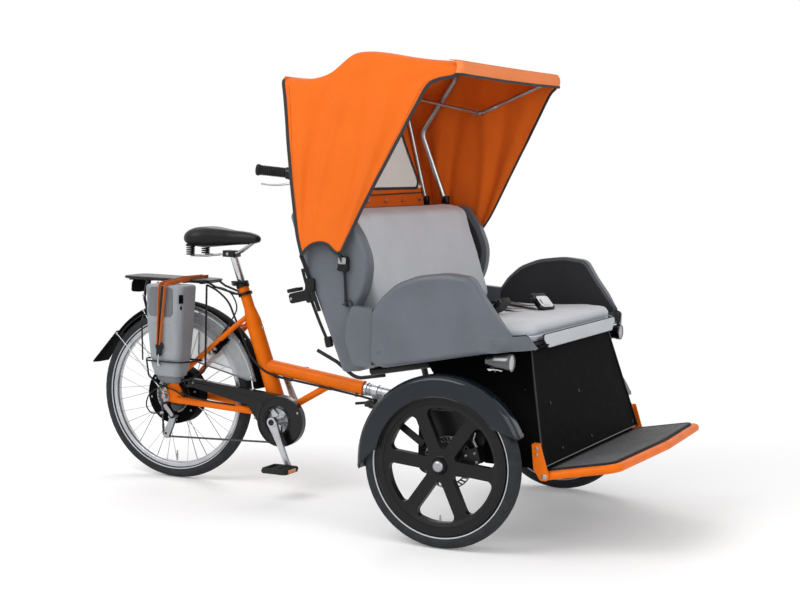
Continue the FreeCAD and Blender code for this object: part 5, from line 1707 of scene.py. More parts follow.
@dataclass
class Wheels:
    """Tyres, wheel trim, brake discs and front mudguards.

    Attributes:
        finish: the vehicle's materials.
        front: middle of a front wheel, without its side.
        reach: front wheel's distance from the middle plane.
        tread: depth of the tread grooves.
        wall: wall of a front mudguard.
        cut: degrees by which its skirt is shorter than its crown, in front and behind.
    """

    finish: Finish
    front: tuple = (0.0, 0.250)
    reach: float = 0.525
    tread: float = 0.0016
    wall: float = 0.003
    cut: tuple = (15.0, 17.0)

    def build(self) -> list[Object]:
        """Make every piece of the wheels."""
        made = [self.tyre("rear_tyre", "rear_wheel", .261, .2665), self.rear_trim()]
        for name, side in SIDES.items():
            middle = spot(self.front[0], side * self.reach, self.front[1])
            body = f"{name}_front_wheel"
            made += [self.tyre(f"front_tyre_{name}", body, .211, .2165),
                     self.front_trim(name, body, middle, side), self.disc(name, body, middle, side),
                     self.axle_end(name, middle, side), self.mudguard(name, middle, side)]
        return made

    def tyre(self, node: str, body: str, seat: float, stripe: float) -> Object:
        """A tyre with two grooves round it and short sipes across its shoulders.

        The section is a smooth loop through the beads, the flanks and the crown, turned about the axle. Where
        the radius is within 7 mm of the crown, it loses the tread depth in the grooves and sipes.
        """
        low, high = box_of(node)
        middle, outer, half = (low + high) / 2, (high[2] - low[2]) / 2, (high[1] - low[1]) / 2
        loop = [(.0, seat + .0005), (.55, seat), (.82, seat + .004), (1.0, seat + .018), (.86, outer - .0085),
                (.5, outer - .0024), (.0, outer)]
        loop = [(half * a, r) for a, r in loop + [(-a, r) for a, r in loop[-2:0:-1]]]
        columns = 8 * 52  # eight to each sipe
        surface = ring(smooth_line(loop, 64, closed=True), middle, LEFTWARD, columns)
        out = surface.grid - middle
        across = np.abs(out[..., 1:2]) / half
        out[..., 1] = 0
        radius = np.linalg.norm(out, axis=-1, keepdims=True)
        turn = np.arange(columns)[None, :, None]
        sipe = ((turn + (across * 9).astype(int)) % 8 < 2) & (across > .34)
        groove = np.abs(across - .24) < .07
        surface.grid = surface.grid - out / radius * self.tread * ((sipe | groove) & (radius > outer - .007))
        rubber = Striped(node + "_rubber", Tone.TYRE_GREY, tuple(middle), stripe, .0034)
        return piece(node + "_tread", body, [surface], [rubber.material()], [node])

    def front_trim(self, name: str, body: str, middle: Array, side: int) -> Object:
        """Raised lips of the rim on both faces, the hub's step, and the valve in the lowest window."""
        surfaces = []
        for way in (side, -side):
            lip = [(.0180, .1835), (.0203, .1850), (.0203, .2030), (.0222, .2046), (.0222, .2098),
                   (.0180, .2104)]
            surfaces.append(ring([(way * a, r) for a, r in lip], middle, LEFTWARD, 128))
        hub = [(.024, .0190), (.0302, .0190), (.0306, .0180), (.0306, .0170), (.024, .0168)]
        surfaces.append(ring([(side * a, r) for a, r in hub], middle, LEFTWARD, 72))
        stem = middle + [0, side * .004, 0]
        surfaces += [turned([(.150, .0001), (.150, .0026), (.158, .0026), (.158, .0034), (.180, .0034)], stem,
                            -UPWARD, 16, slot=1)]
        return piece(f"front_wheel_trim_{name}", body, surfaces, [self.finish.wheel, self.finish.steel])

    def axle_end(self, name: str, middle: Array, side: int) -> Object:
        """Domed nut on the stub axle, with the caliper's bolts and arm."""
        dome = np.array([(side * a, r) for a, r in
                         ((.0308, .0162), (.0345, .0162), (.0372, .0140), (.0386, .0100), (.0392, .0050),
                          (.0393, .0002))])
        surfaces = [turned(dome, middle, LEFTWARD, 40)]
        out = -side * LEFTWARD
        for ahead, up in ((.066, .031), (.094, .040), (.073, .005), (.101, .014)):
            surfaces.append(screw_head(middle + [ahead, -side * .0225, up], side * LEFTWARD, .0048, .004, 0,
                                       12))
        pivot = middle + [.085, -side * .058, .050]
        lean = spin_about(LEFTWARD, -.31)
        surfaces += [tube([pivot, pivot + [-.012, 0, .022], pivot + [-.006, 0, .046]], .005, .01, 12),
                     plate(rectangle(.040, .030, .006), .012, middle + [.084, -side * .062, .028],
                           lean @ FORWARD, lean @ UPWARD, 1),
                     turned([(0, .012), (.004, .012), (.006, .009), (.006, .0002)],
                            middle + [.084, -side * .068, .028], out, 24)]
        obj = piece(f"axle_end_{name}", "front_unit", surfaces, [self.finish.steel, self.finish.rubber])
        return bevelled(obj, .0006, 1)

    def disc(self, name: str, body: str, middle: Array, side: int) -> Object:
        """Brake disc: slotted outer band, six slanting arms and the hub boss."""
        at = middle + [0, -side * .0465, 0]
        surfaces = [band(.0762, .0800, -.0015, .0015, at), band(.0610, .0650, -.0015, .0015, at),
                    band(.0220, .0330, -.0015, .0015, at, 48),
                    ring([(side * .0015, .0185), (side * .0160, .0185), (side * .0160, .0250),
                          (side * .0015, .0280)],
                         at, LEFTWARD, 48)]

        def bar(inner: float, outer: float, lean: float, width: float) -> Surface:
            """A flat bar from one radius to another, leaning round the disc by an angle."""
            start, end = inner * FORWARD, outer * (math.cos(lean) * FORWARD + math.sin(lean) * UPWARD)
            way = unit(end - start)
            return plate(rectangle(float(np.linalg.norm(end - start)), width, .0004, 2), .0028,
                         at + (start + end) / 2, way, np.cross(LEFTWARD, way))

        surfaces += repeated(bar(.0640, .0772, .12, .0042), at, LEFTWARD, 36)
        surfaces += repeated(bar(.0300, .0620, .50, .0080), at, LEFTWARD, 6)
        surfaces += [screw_head(s, -side * LEFTWARD, .0035, .003, 1, 12)
                     for s in arc_line(at + [0, -side * .0015, 0], .0275, 0, 300, 6)]
        return piece(f"brake_disc_slotted_{name}", body, surfaces, [self.finish.steel, self.finish.black],
                     [f"brake_disc_{name}"])

    def mudguard(self, name: str, middle: Array, side: int) -> Object:
        """Smoked mudguard: a crowned blade with an outer skirt, a rolled edge and a rib near each end."""
        skin = rounded_outline([(.034, .205, 0), (.034, .2585, .014), (.0195, .2712, .016),
                                (-.0195, .2712, .016), (-.033, .2590, .012), (-.033, .240, 0)], 8)
        skin = even_line(skin, 64) * np.array([side, 1])
        short = np.clip((.2640 - skin[:, 1]) / .059, 0, 1)
        first, last = 22.25 + self.cut[0] * short, 187.25 - self.cut[1] * short

        def blade(profile: Array, start: Array, end: Array, steps: int) -> Surface:
            """The profile turned about the axle, each point from its own first to its own last angle."""
            t = np.radians(start[:, None] + (end - start)[:, None] * np.linspace(0, 1, steps))[..., None]
            round_axle = np.cos(t) * FORWARD + np.sin(t) * UPWARD
            grid = middle + profile[:, None, :1] * LEFTWARD + profile[:, None, 1:] * round_axle
            surface = Surface(grid, wrap_columns=False, caps=False)
            return surface.reversed() if side < 0 else surface

        raised = skin + np.stack([np.sign(skin[:, 0]) * .0012 * (np.abs(skin[:, 0]) > .024),
                                  .0014 * (skin[:, 1] > .262)], -1)
        surfaces = [blade(skin, first, last, 150), blade(raised, first + 1.2, first + 3.0, 6),
                    blade(raised, last - 3.0, last - 1.2, 6)]
        obj = piece(f"front_mudguard_{name}", "front_unit", surfaces, [self.finish.smoke],
                    [f"front_fender_{name}"])
        thickened(obj, self.wall)
        edges = []
        for across, radius, share in ((.0342, .2055, 1.0), (-.0332, .2405, .4)):
            line = arc_line(middle + [0, side * across, 0], radius, 22.25 + share * self.cut[0],
                            187.25 - share * self.cut[1], 120)
            edges.append(swept(line, circle(.0026, 10), LEFTWARD))
        piece(f"front_mudguard_edges_{name}", "front_unit", edges, [self.finish.gloss])
        return obj

    def rear_trim(self) -> Object:
        """Valve, a thin steel band on each face of the motor, and the screws of the motor's cover."""
        surfaces = [turned([(.205, .0001), (.205, .0025), (.215, .0025), (.215, .0033), (.240, .0033)],
                           REAR_AXLE, -UPWARD, 16)]
        for way in (-1, 1):
            surfaces += [screw_head(at, way * LEFTWARD, .0042, .003, 0, 12)
                         for at in arc_line(REAR_AXLE + [0, .033 if way > 0 else -.031, 0], .090, 10, 325, 8)]
            surfaces.append(band(.062, .067, -.0012, .0012, REAR_AXLE + [0, .034 if way > 0 else -.0312, 0],
                                 72))
        return piece("rear_wheel_trim", "rear_wheel", surfaces, [self.finish.steel])


# ---------------------------------------------------------------- rear frame


@dataclass
class RearEnd:
    """Battery, rack, drive, saddle and guards of the rear frame.

    Attributes:
        finish: the vehicle's materials.
        crank: crank axle, x from the front axle and height.
        crank_turn: right crank from the forward direction, in degrees.
        crank_length: crank axle to pedal axle.
        arm: middle of a crank arm from the middle plane.
        chain_line: chain to the right of the middle plane.
    """

    finish: Finish
    crank: tuple = (-.814, .247)
    crank_turn: float = -66.0
    crank_length: float = .160
    arm: float = .098
    chain_line: float = .0475

    def build(self) -> list[Object]:
        """Make every piece of the rear frame."""
        return [self.battery(), self.straps(), self.cradle_ring(), self.rack_trim(), self.saddle(),
                self.saddle_frame(), self.post(), self.guard_frame(), self.case_trim(), self.chain(),
                self.cassette(), self.cranks(), *self.pedals(), self.derailleur(), self.housings(),
                self.lamp(), self.guard_stays(), self.rim_brake(), self.frame_fittings()]

    def battery(self) -> Object:
        """Battery case: rounded sections that taper downwards, a sunk panel, a raised rib and a low seam.

        At height z the section is a rounded rectangle, with its ends interpolated from a table. A point of
        the outer face moves inwards by 6 mm times a smooth step inside the panel.
        """
        table = np.array([(.384, -1.238, -1.138, -.184, -.112, .022),
                          (.420, -1.247, -1.130, -.195, -.104, .024),
                          (.560, -1.261, -1.119, -.202, -.098, .024),
                          (.700, -1.267, -1.113, -.204, -.096, .024)])
        heights = np.concatenate([[.384, .385, .387, .391], np.linspace(.396, .690, 110),
                                  [.695, .698, .6995, .700]])
        inset = np.concatenate([[.006, .003, .001, 0], np.zeros(110), [.001, .003, .0055, .009]])
        inset = inset + .0018 * (np.abs(heights - .441) < .0030)
        values = np.stack([np.interp(heights, table[:, 0], table[:, k]) for k in range(1, 6)], -1)
        rows = []
        for z, d, (x0, x1, y0, y1, r) in zip(heights, inset, values):
            x0, x1, y0, y1 = x0 + d, x1 - d, y0 + d, y1 - d
            flat = rounded_outline([(x0, y0, r), (x1, y0, r), (x1, y1, r), (x0, y1, r)], 10)
            rows.append(level(even_loop(flat, 220), z))
        grid = np.stack(rows)
        x, z = grid[..., 0] - AXLE_X, grid[..., 2]
        outer = smooth_step((-.165 - grid[..., 1]) / .015)
        corner = .012 * smooth_step((.606 - z) / .018)
        panel = within(x, corner - 1.2540, -1.1480 - corner, .004) * smooth_step((z - .588) / .005)
        low = within(x, -1.240, -1.156, .010) * within(z, .462, .572, .010)
        rib = within(x, -1.145, -1.128, .005) * within(z, .456, .684, .012)
        grid[..., 1] += outer * (.0060 * panel + .0022 * low - .0010 * rib)
        surfaces = [Surface(grid)]
        bevel, slant = unit(FORWARD + LEFTWARD), unit(FORWARD - LEFTWARD)
        surfaces += [plate(rectangle(.015, .030, .002), .0030, spot(-1.1208, -.1962, .655), bevel, UPWARD, 2),
                     plate(rectangle(.006, .012, .002), .0030, spot(-1.1203, -.1965, .625) + slant * .0005,
                           bevel, UPWARD, 2),
                     plate(rectangle(.094, .100, .012), .0016, spot(-1.2005, -.1974, .6425), slot=1)]
        shoe = [level(rectangle(.090 - d, .060 - d, .020) + [-1.188, -.148], z)
                for z, d in ((.386, .0), (.372, .004), (.362, .020), (.358, .034))]
        surfaces.append(Surface(np.stack(shoe), slot=1))
        return piece("battery", "rear_frame", surfaces,
                     [self.finish.battery, self.finish.battery_dark, self.finish.panel],
                     ["battery_case"])

    def straps(self) -> Object:
        """Two elastic straps from the rack over the battery to a round buckle, hooked on the cradle ring."""
        flat = rectangle(.0026, .0150, .001, 2)
        surfaces = []
        for shift in (-.0115, .0115):
            foot = spot(-1.200 + shift * .45, -.2090, .497)
            over = [spot(-1.176 + shift, .050, .7158), spot(-1.181 + shift, -.066, .7158),
                    spot(-1.188 + shift, -.2040, .7035), spot(-1.1885 + shift, -.2085, .6980)]
            line = np.concatenate([even_line(np.array(over[:2]), 14), even_line(np.array(over[1:3]), 16)[1:],
                                   even_line(np.array([over[3], foot]), 30)])
            surfaces.append(swept(line, flat[:, ::-1], FORWARD + .0001 * UPWARD))
        core = smooth_line([spot(-1.188, -.2078, .698), spot(-1.194, -.2080, .600),
                            spot(-1.200, -.2082, .500)], 40)
        surfaces.append(swept(core, rectangle(.0095, .0020, .0008, 2), LEFTWARD, slot=1))
        knob = np.array([(.0, .0150), (.0060, .0150), (.0090, .0125), (.0100, .0080), (.0092, .0040),
                         (.0092, .0002)])
        surfaces += [turned(knob, spot(-1.200, -.2010, .490), -LEFTWARD, 36, slot=1),
                     plate(rectangle(.018, .030, .006), .008, spot(-1.200, -.2065, .472), slot=1)]
        hook = [spot(-1.200, -.2085, .462), spot(-1.200, -.2100, .446), spot(-1.200, -.2115, .432),
                spot(-1.200, -.2050, .424), spot(-1.200, -.1995, .430)]
        surfaces.append(cable(hook, .0030, 30, 10, FORWARD, 2))
        return piece("battery_straps", "rear_frame", surfaces,
                     [self.finish.strap, self.finish.gloss, self.finish.chrome])

    def cradle_ring(self) -> Object:
        """Rods that hold the battery: a ring round its foot and an outer hoop under it."""
        corners = rounded_outline([(-1.2540, -.2020, .026), (-1.1200, -.2020, .022), (-1.0900, -.0900, .012),
                                   (-1.2860, -.0900, .012), (-1.2860, -.1500, .020)], 8)
        loop = level(corners, .438)
        surfaces = [swept(loop, circle(.0030, 10), closed=True),
                    tube([spot(-1.254, -.2000, .438), spot(-1.246, -.1980, .384), spot(-1.215, -.165, .347),
                          spot(-1.215, -.100, .352)], .0030, .02, 10),
                    tube([spot(-1.284, -.090, .600), spot(-1.276, -.200, .590), spot(-1.2700, -.2000, .438)],
                         .0028, .03, 10)]
        return piece("battery_ring", "rear_frame", surfaces, [self.finish.black])

    def rack_trim(self) -> Object:
        """Rolled edge of the rack, its underside ribs and the bolts of its legs."""
        edge = rounded_outline([(-1.444, -.070, .030), (-1.108, -.058, .018), (-1.108, .058, .018),
                                (-1.444, .070, .030)], 8)
        loop = level(edge, .7085)
        surfaces = [swept(loop, circle(.0048, 12), closed=True)]
        surfaces += [plate(rectangle(.310, .010, .004), .006, spot(-1.276, y, .7025), FORWARD, LEFTWARD)
                     for y in (-.042, 0, .042)]
        surfaces += [plate(rectangle(.014, .112, .004), .007, spot(x, 0, .7015), FORWARD, LEFTWARD)
                     for x in (-1.42, -1.345, -1.20, -1.13)]
        for way in (-1, 1):
            surfaces += [screw_head(spot(-1.250, way * .0855, .324), way * LEFTWARD, .007, .004, 1),
                         screw_head(spot(-1.345, way * .0845, .648), way * LEFTWARD, .005, .003, 1)]
        return piece("rack_trim", "rear_frame", surfaces, [self.finish.black, self.finish.steel])

    def saddle(self) -> Object:
        """Saddle cover: broad tail, long nose, a dip where the rider sits and skirts that roll under.

        Sections follow tables of half width, crown height and skirt height along the saddle; each section is
        a squashed circle raised to a power, flat below.
        """
        table = np.array([(-1.206, .030, .866, .848), (-1.198, .062, .880, .836), (-1.170, .084, .893, .828),
                          (-1.130, .082, .897, .827), (-1.080, .058, .893, .832), (-1.030, .036, .886, .838),
                          (-.980, .026, .882, .842), (-.945, .020, .877, .846), (-.930, .013, .870, .850),
                          (-.9265, .004, .864, .856)])
        x = smooth_line(table, 64)
        turn = np.linspace(0, 2 * math.pi, 72, endpoint=False)
        a, b = flattened(np.cos(turn), .75), flattened(np.sin(turn), .80)
        middle, tall = (x[:, 2] * .42 + x[:, 3] * .58), x[:, 2:3] - (x[:, 2:3] * .42 + x[:, 3:4] * .58)
        below = (x[:, 2:3] * .42 + x[:, 3:4] * .58) - x[:, 3:4]
        height = np.where(b > 0, b * tall, b * below) + middle[:, None]
        height -= .0035 * np.exp(-(a * 2.6) ** 2) * (b > 0) * np.exp(-((x[:, :1] + 1.10) / .07) ** 2)
        grid = np.stack([np.broadcast_to(x[:, :1] + AXLE_X, height.shape), a * x[:, 1:2], height], -1)
        obj = piece("saddle_cover", "rear_frame", [Surface(grid)], [self.finish.saddle],
                    ["saddle"])
        stuffed(obj, .0048, .0022, 4.0, 12)
        rounded_off(obj)
        return obj

    def saddle_frame(self) -> Object:
        """Under the saddle: two coil springs, rails, the clamp and a thin base."""
        surfaces = []
        for side in SIDES.values():
            turns = np.linspace(0, 2 * math.pi * 5, 90)
            line = np.stack([AXLE_X - 1.176 + .0135 * np.cos(turns), side * .050 + .0135 * np.sin(turns),
                             np.linspace(.796, .832, 90)], -1)
            surfaces += [swept(line, circle(.0026, 8)),
                         tube([spot(-1.176, side * .050, .796), spot(-1.120, side * .030, .796),
                               spot(-1.050, side * .020, .806), spot(-1.010, side * .016, .810),
                               spot(-.955, side * .006, .846)], .0036, .03, 12, slot=1),
                         turned([(.0, .016), (.004, .017), (.008, .016)], spot(-1.176, side * .050, .828),
                                UPWARD, 28)]
        surfaces += [plate(rectangle(.050, .052, .008), .022, spot(-1.040, 0, .806), FORWARD, LEFTWARD, 0),
                     turned([(-.032, .0065), (.032, .0065)], spot(-1.040, 0, .806), LEFTWARD, 6, slot=1)]
        return bevelled(piece("saddle_frame", "rear_frame", surfaces, [self.finish.black, self.finish.steel]),
                        .0015)

    def post(self) -> Object:
        """Polished saddle post in a black clamp with a bolt and a short lever."""
        foot, head = spot(-.993, 0, .694), spot(-1.036, 0, .810)
        way = unit(head - foot)
        profile = np.array([(0, .0136), (.040, .0136), (.0405, .0139), (.042, .0136), (.1237, .0136)])
        collar = [(-.004, .0190), (-.004, .0222), (-.001, .0232), (.013, .0232), (.016, .0218), (.016, .0137)]
        surfaces = [turned(profile, foot, way, 40), turned(np.array(collar), foot, way, 48, slot=1),
                    plate(rectangle(.026, .018, .004), .016, foot + way * .006 + [-.026, 0, .003], -FORWARD,
                          way, 1),
                    turned([(-.017, .0045), (.017, .0045)], foot + way * .006 + [-.031, 0, .003], LEFTWARD,
                           6),
                    tube([foot + [-.031, -.015, .008], foot + [-.020, -.030, .014],
                          foot + [.020, -.031, .020]], .0040,
                         .012, 12, slot=1)]
        return piece("saddle_post", "rear_frame", surfaces, [self.finish.chrome, self.finish.black],
                     ["seat_post"])

    def guard_frame(self) -> Object:
        """Grey edges of the clear wheel guards, with their clips."""
        surfaces = []
        for side in SIDES.values():
            y = side * .0347
            low = [spot(-1.186, y, .622), spot(-1.190, y, .431), spot(-1.120, y, .414), spot(-.945, y, .3735),
                   spot(-.920, y, .380)]
            surfaces.append(swept(bent_line(low, .020), rectangle(.003, .011, .001, 3), LEFTWARD))
            arch = arc_line(GUARD_MIDDLE + [0, y, 0], .3245, 14, 84, 50)
            surfaces.append(swept(arch, rectangle(.003, .007, .001, 3), LEFTWARD))
            surfaces += [screw_head(spot(x, y + side * .001, z), side * LEFTWARD, .005, .003, 1)
                         for x, z in ((-1.183, .440), (-.940, .381), (-.985, .505))]
        return piece("wheel_guard_edges", "rear_frame", surfaces,
                     [self.finish.battery_dark, self.finish.steel])

    def case_trim(self) -> Object:
        """Chain case trim: a collar round the opening, a raised disc edge and a rib along the tail."""
        at = spot(self.crank[0], -.066, self.crank[1])
        disc = spot(self.crank[0] + .011, -.066, self.crank[1])
        surfaces = [ring([(.001, .0438), (-.0040, .0445), (-.0040, .0475), (-.0005, .0520), (.001, .0520)],
                         at, LEFTWARD, 96),
                    ring([(.001, .0800), (-.0018, .0812), (-.0026, .0850), (-.0010, .0882), (.001, .0882)],
                         disc, LEFTWARD, 120)]
        rib = smooth_line([spot(-1.166, -.0665, .3560), spot(-1.060, -.0665, .3440),
                           spot(-.940, -.0665, .3255), spot(-.866, -.0665, .3060)], 60)
        surfaces.append(swept(rib, rectangle(.0022, .005, .001, 3), LEFTWARD))
        surfaces += [screw_head(spot(x, -.0655, z), -LEFTWARD, .0045, .003, 1)
                     for x, z in ((-1.150, .3535), (-.900, .2500), (-.7350, .2800))]
        return piece("chain_case_trim", "rear_frame", surfaces, [self.finish.gloss, self.finish.steel])

    def chain(self) -> Object:
        """Chain of separate links: pairs of waisted plates joined by pins, every other pair set wider."""
        outline = rounded_outline([(-.7405, .3215, .071), (-.7405, .1725, .071), (-1.2800, .1503, .011),
                                   (-1.2910, .3410, .038)], 24)
        loop = np.concatenate([outline, outline[:1]])
        count = 2 * int(round(lengths_along(loop)[-1] / .0254))
        pins = even_line(loop, count + 1)[:-1] + np.array([AXLE_X, 0])
        t = np.linspace(0, 2 * math.pi, 12, endpoint=False)
        waist = np.stack([.0105 * np.cos(t), .0040 * np.sin(t) * (.72 + .28 * np.abs(np.cos(t)) * 1.3)], -1)
        surfaces = []
        for k, (here, ahead) in enumerate(zip(pins, np.roll(pins, -1, 0))):
            way = unit([ahead[0] - here[0], 0, ahead[1] - here[1]])
            middle = np.array([(here[0] + ahead[0]) / 2, -self.chain_line, (here[1] + ahead[1]) / 2])
            offset = .0031 if k % 2 else .0021
            surfaces += [plate(waist, .0009, middle + [0, s * offset, 0], way, np.cross(way, LEFTWARD))
                         for s in (-1, 1)]
            surfaces.append(turned([(-.0038, .0018), (.0038, .0018)],
                                   np.array([here[0], -self.chain_line, here[1]]), LEFTWARD, 6))
        return piece("chain_links", "rear_frame", surfaces, [self.finish.chain], ["chain"])

    def cassette(self) -> Object:
        """Sprockets with teeth on a short hub body."""
        surfaces = [gear(r, teeth, .0045, .0020, spot(-1.252, y, .300))
                    for r, teeth, y in ((.0630, 28, -.0350), (.0400, 20, -.0385), (.0355, 18, -.0430),
                                        (.0315, 16, -.0475), (.0280, 14, -.0520), (.0240, 12, -.0565))]
        surfaces.append(ring([(-.0313, .0062), (-.0598, .0062), (-.0598, .0180), (-.0313, .0190)],
                             REAR_AXLE, LEFTWARD, 40))
        return piece("sprockets", "rear_wheel", surfaces, [self.finish.chain], ["cassette"])

    def pedal_point(self, turn: float) -> Array:
        """Pedal axle in the middle plane, for a crank turned on from the right one."""
        angle = math.radians(self.crank_turn + turn)
        return spot(self.crank[0] + self.crank_length * math.cos(angle), 0,
                    self.crank[1] + self.crank_length * math.sin(angle))

    def cranks(self) -> Object:
        """Crank axle, forged arms, five-armed spider and toothed chainring."""
        middle = spot(self.crank[0], 0, self.crank[1])
        ring_at = middle + [0, -self.chain_line, 0]
        teeth = gear(.0660, 38, .0050, .0026, ring_at, 1)
        surfaces = [teeth,
                    turned([(-.0405, .0150), (-.0880, .0150)], middle, LEFTWARD, 40),
                    turned([(-.106, .0080), (.106, .0080)], middle, LEFTWARD, 32, slot=1)]
        plan = [(.008, -.012, 0), (.040, -.0075, .006), (.056, -.006, .004), (.056, .006, .004),
                (.040, .0075, .006), (.008, .012, 0)]
        arm = plate(rounded_outline(plan, 5), .005, ring_at + [0, -.0058, 0])
        surfaces += repeated(arm, ring_at, LEFTWARD, 5, .3)
        bolt = screw_head(ring_at + [.049, -.0083, 0], -LEFTWARD, .0050, .003, 2, 16)
        surfaces += repeated(bolt, ring_at, LEFTWARD, 5, .3)
        for side, turn in ((-1, 0.0), (1, 180.0)):
            pedal = self.pedal_point(turn)
            way = unit(pedal - middle)
            along = np.array([.004, .020, .040, .075, .110, .140, .152, .160, .168, .172])
            wide = np.array([.0190, .0175, .0150, .0125, .0112, .0110, .0118, .0125, .0100, .0050])
            thick = np.array([.0095, .0090, .0080, .0072, .0065, .0062, .0062, .0062, .0060, .0040])
            t = np.linspace(0, 2 * math.pi, 32, endpoint=False)
            c, s = flattened(np.cos(t), .6), flattened(np.sin(t), .6)
            s = s * (1 - .28 * (np.abs(c) < .62))
            flank = np.cross(way, LEFTWARD)
            c, s = (wide[:, None] * c)[..., None], (thick[:, None] * s)[..., None]
            grid = middle + side * self.arm * LEFTWARD + along[:, None, None] * way + c * flank + s * LEFTWARD
            surfaces.append(Surface(grid))
            boss = np.array([(side * (self.arm - .012), .0172), (side * (self.arm + .006), .0178),
                             (side * (self.arm + .0085), .0165), (side * (self.arm + .0085), .0002)])
            surfaces.append(turned(boss, middle, LEFTWARD, 40))
            cap = np.array([(side * (self.arm + .0080), .0115), (side * (self.arm + .0105), .0105),
                            (side * (self.arm + .0108), .0002)])
            surfaces.append(turned(cap, middle, LEFTWARD, 8, slot=2))
        return piece("cranks", "crank", surfaces, [self.finish.alloy, self.finish.steel, self.finish.gloss],
                     ["crankset"], 50)

    def pedals(self) -> list[Object]:
        """Both pedals: a body with two toothed rails, cheeks, the bearing barrel and reflectors."""
        made = []
        for name, side, turn in (("right", -1, 0.0), ("left", 1, 180.0)):
            at = self.pedal_point(turn)
            inner, outer = self.arm + .011, self.arm + .108
            mid, span = side * (inner + outer) / 2, outer - inner
            barrel = [(side * (inner + .002), .0095), (side * (inner + .03), .0110),
                      (side * (outer - .012), .0085), (side * (outer - .004), .0078)]
            surfaces = [turned(barrel, at, LEFTWARD, 28),
                        turned([(side * (self.arm - .0060), .0050), (side * (inner + .006), .0050)], at,
                               LEFTWARD, 20, slot=1)]
            for cheek in (side * (inner + .006), side * (outer - .006)):
                plan = [(-.040, -.0085, .005), (.040, -.0085, .005), (.046, 0, .004), (.040, .0085, .005),
                        (-.040, .0085, .005), (-.046, 0, .004)]
                surfaces.append(plate(rounded_outline(plan, 5), .012, at + cheek * LEFTWARD))
            for way in (-1, 1):
                rail = at + [way * .0415, mid, 0]
                t = np.linspace(-.5, .5, 46)
                tooth = .0012 * (np.arange(46) % 4 < 2)
                profile = np.concatenate([np.stack([t * (span - .014), .0080 + tooth], -1),
                                          np.stack([t[::-1] * (span - .014), -.0080 - tooth], -1)])
                surfaces += [plate(profile, .008, rail, LEFTWARD, UPWARD),
                             plate(rectangle(span - .046, .011, .002), .003, rail + [way * .0048, 0, 0],
                                   LEFTWARD, UPWARD, 2),
                             plate(rectangle(span - .020, .012, .002), .010, at + [way * .018, mid, 0],
                                   LEFTWARD, UPWARD)]
            obj = piece(f"pedal_{name}_platform", f"{name}_pedal", surfaces,
                        [self.finish.rubber, self.finish.steel, self.finish.amber],
                        [f"pedal_{name}"])
            made.append(bevelled(obj, .0008))
        return made

    def derailleur(self) -> Object:
        """Rear derailleur: hanger, knuckle, linkage, cage with two toothed wheels, and the housing's loop."""
        def eye(x: float, z: float, radius: float, low: float, high: float, slot: int) -> Surface:
            """A short bevelled drum across the vehicle."""
            edge = np.array([(low, .0002), (low, radius - .001), (low + .001, radius), (high - .001, radius),
                             (high, radius - .001), (high, .0002)])
            return turned(edge, spot(x, 0, z), LEFTWARD, 32, slot=slot)

        surfaces = [eye(-1.252, .300, .0085, -.096, -.076, 0), eye(-1.252, .300, .0125, -.081, -.0745, 0),
                    eye(-1.248, .268, .0130, -.092, -.070, 1), eye(-1.219, .235, .0120, -.092, -.064, 1),
                    eye(-1.236, .226, .0060, -.080, -.056, 0)]
        link = rounded_outline([(-.026, -.008, .007), (.026, -.007, .006), (.026, .007, .006),
                                (-.026, .008, .007)])
        way = unit([.029, 0, -.033])
        for y, slot in ((-.0905, 0), (-.076, 1)):
            surfaces.append(plate(link, .0035, spot(-1.2335, y, .2515), way, np.cross(way, LEFTWARD), slot))
        surfaces.append(plate(rounded_outline([(-.016, -.024, .006), (.006, -.024, .006), (.010, .018, .006),
                                               (-.008, .020, .006)]),
                              .006, spot(-1.250, -.0755, .290)))
        cage = [(-1.246, .236, .010), (-1.224, .236, .010), (-1.236, .196, .030), (-1.258, .142, .008),
                (-1.282, .150, .010), (-1.262, .196, .030)]
        surfaces += [plate(rounded_outline([(x + AXLE_X, z, r) for x, z, r in cage]), .0016,
                           np.array([0, y, 0])) for y in (-.0430, -.0535)]
        wheels = ((-1.236, .222), (-1.267, .1620))
        surfaces += [gear(.0150, 11, .0040, .0030, spot(x, -.0482, z), 2) for x, z in wheels]
        surfaces += [eye(x, z, .0045, -.0560, -.0410, 1) for x, z in wheels]
        loop = [spot(-1.176, -.078, .300), spot(-1.215, -.082, .322), spot(-1.268, -.084, .330),
                spot(-1.315, -.085, .302), spot(-1.328, -.086, .262), spot(-1.306, -.086, .236),
                spot(-1.268, -.085, .240)]
        surfaces += [cable(loop, .0024, 80, 10, LEFTWARD, 2),
                     turned([(0, .0040), (.014, .0040)], spot(-1.270, -.085, .240), FORWARD, 14)]
        return bevelled(piece("gear_changer", "rear_frame", surfaces,
                              [self.finish.steel, self.finish.gloss, self.finish.rubber],
                              ["derailleur"]), .0006, 1)

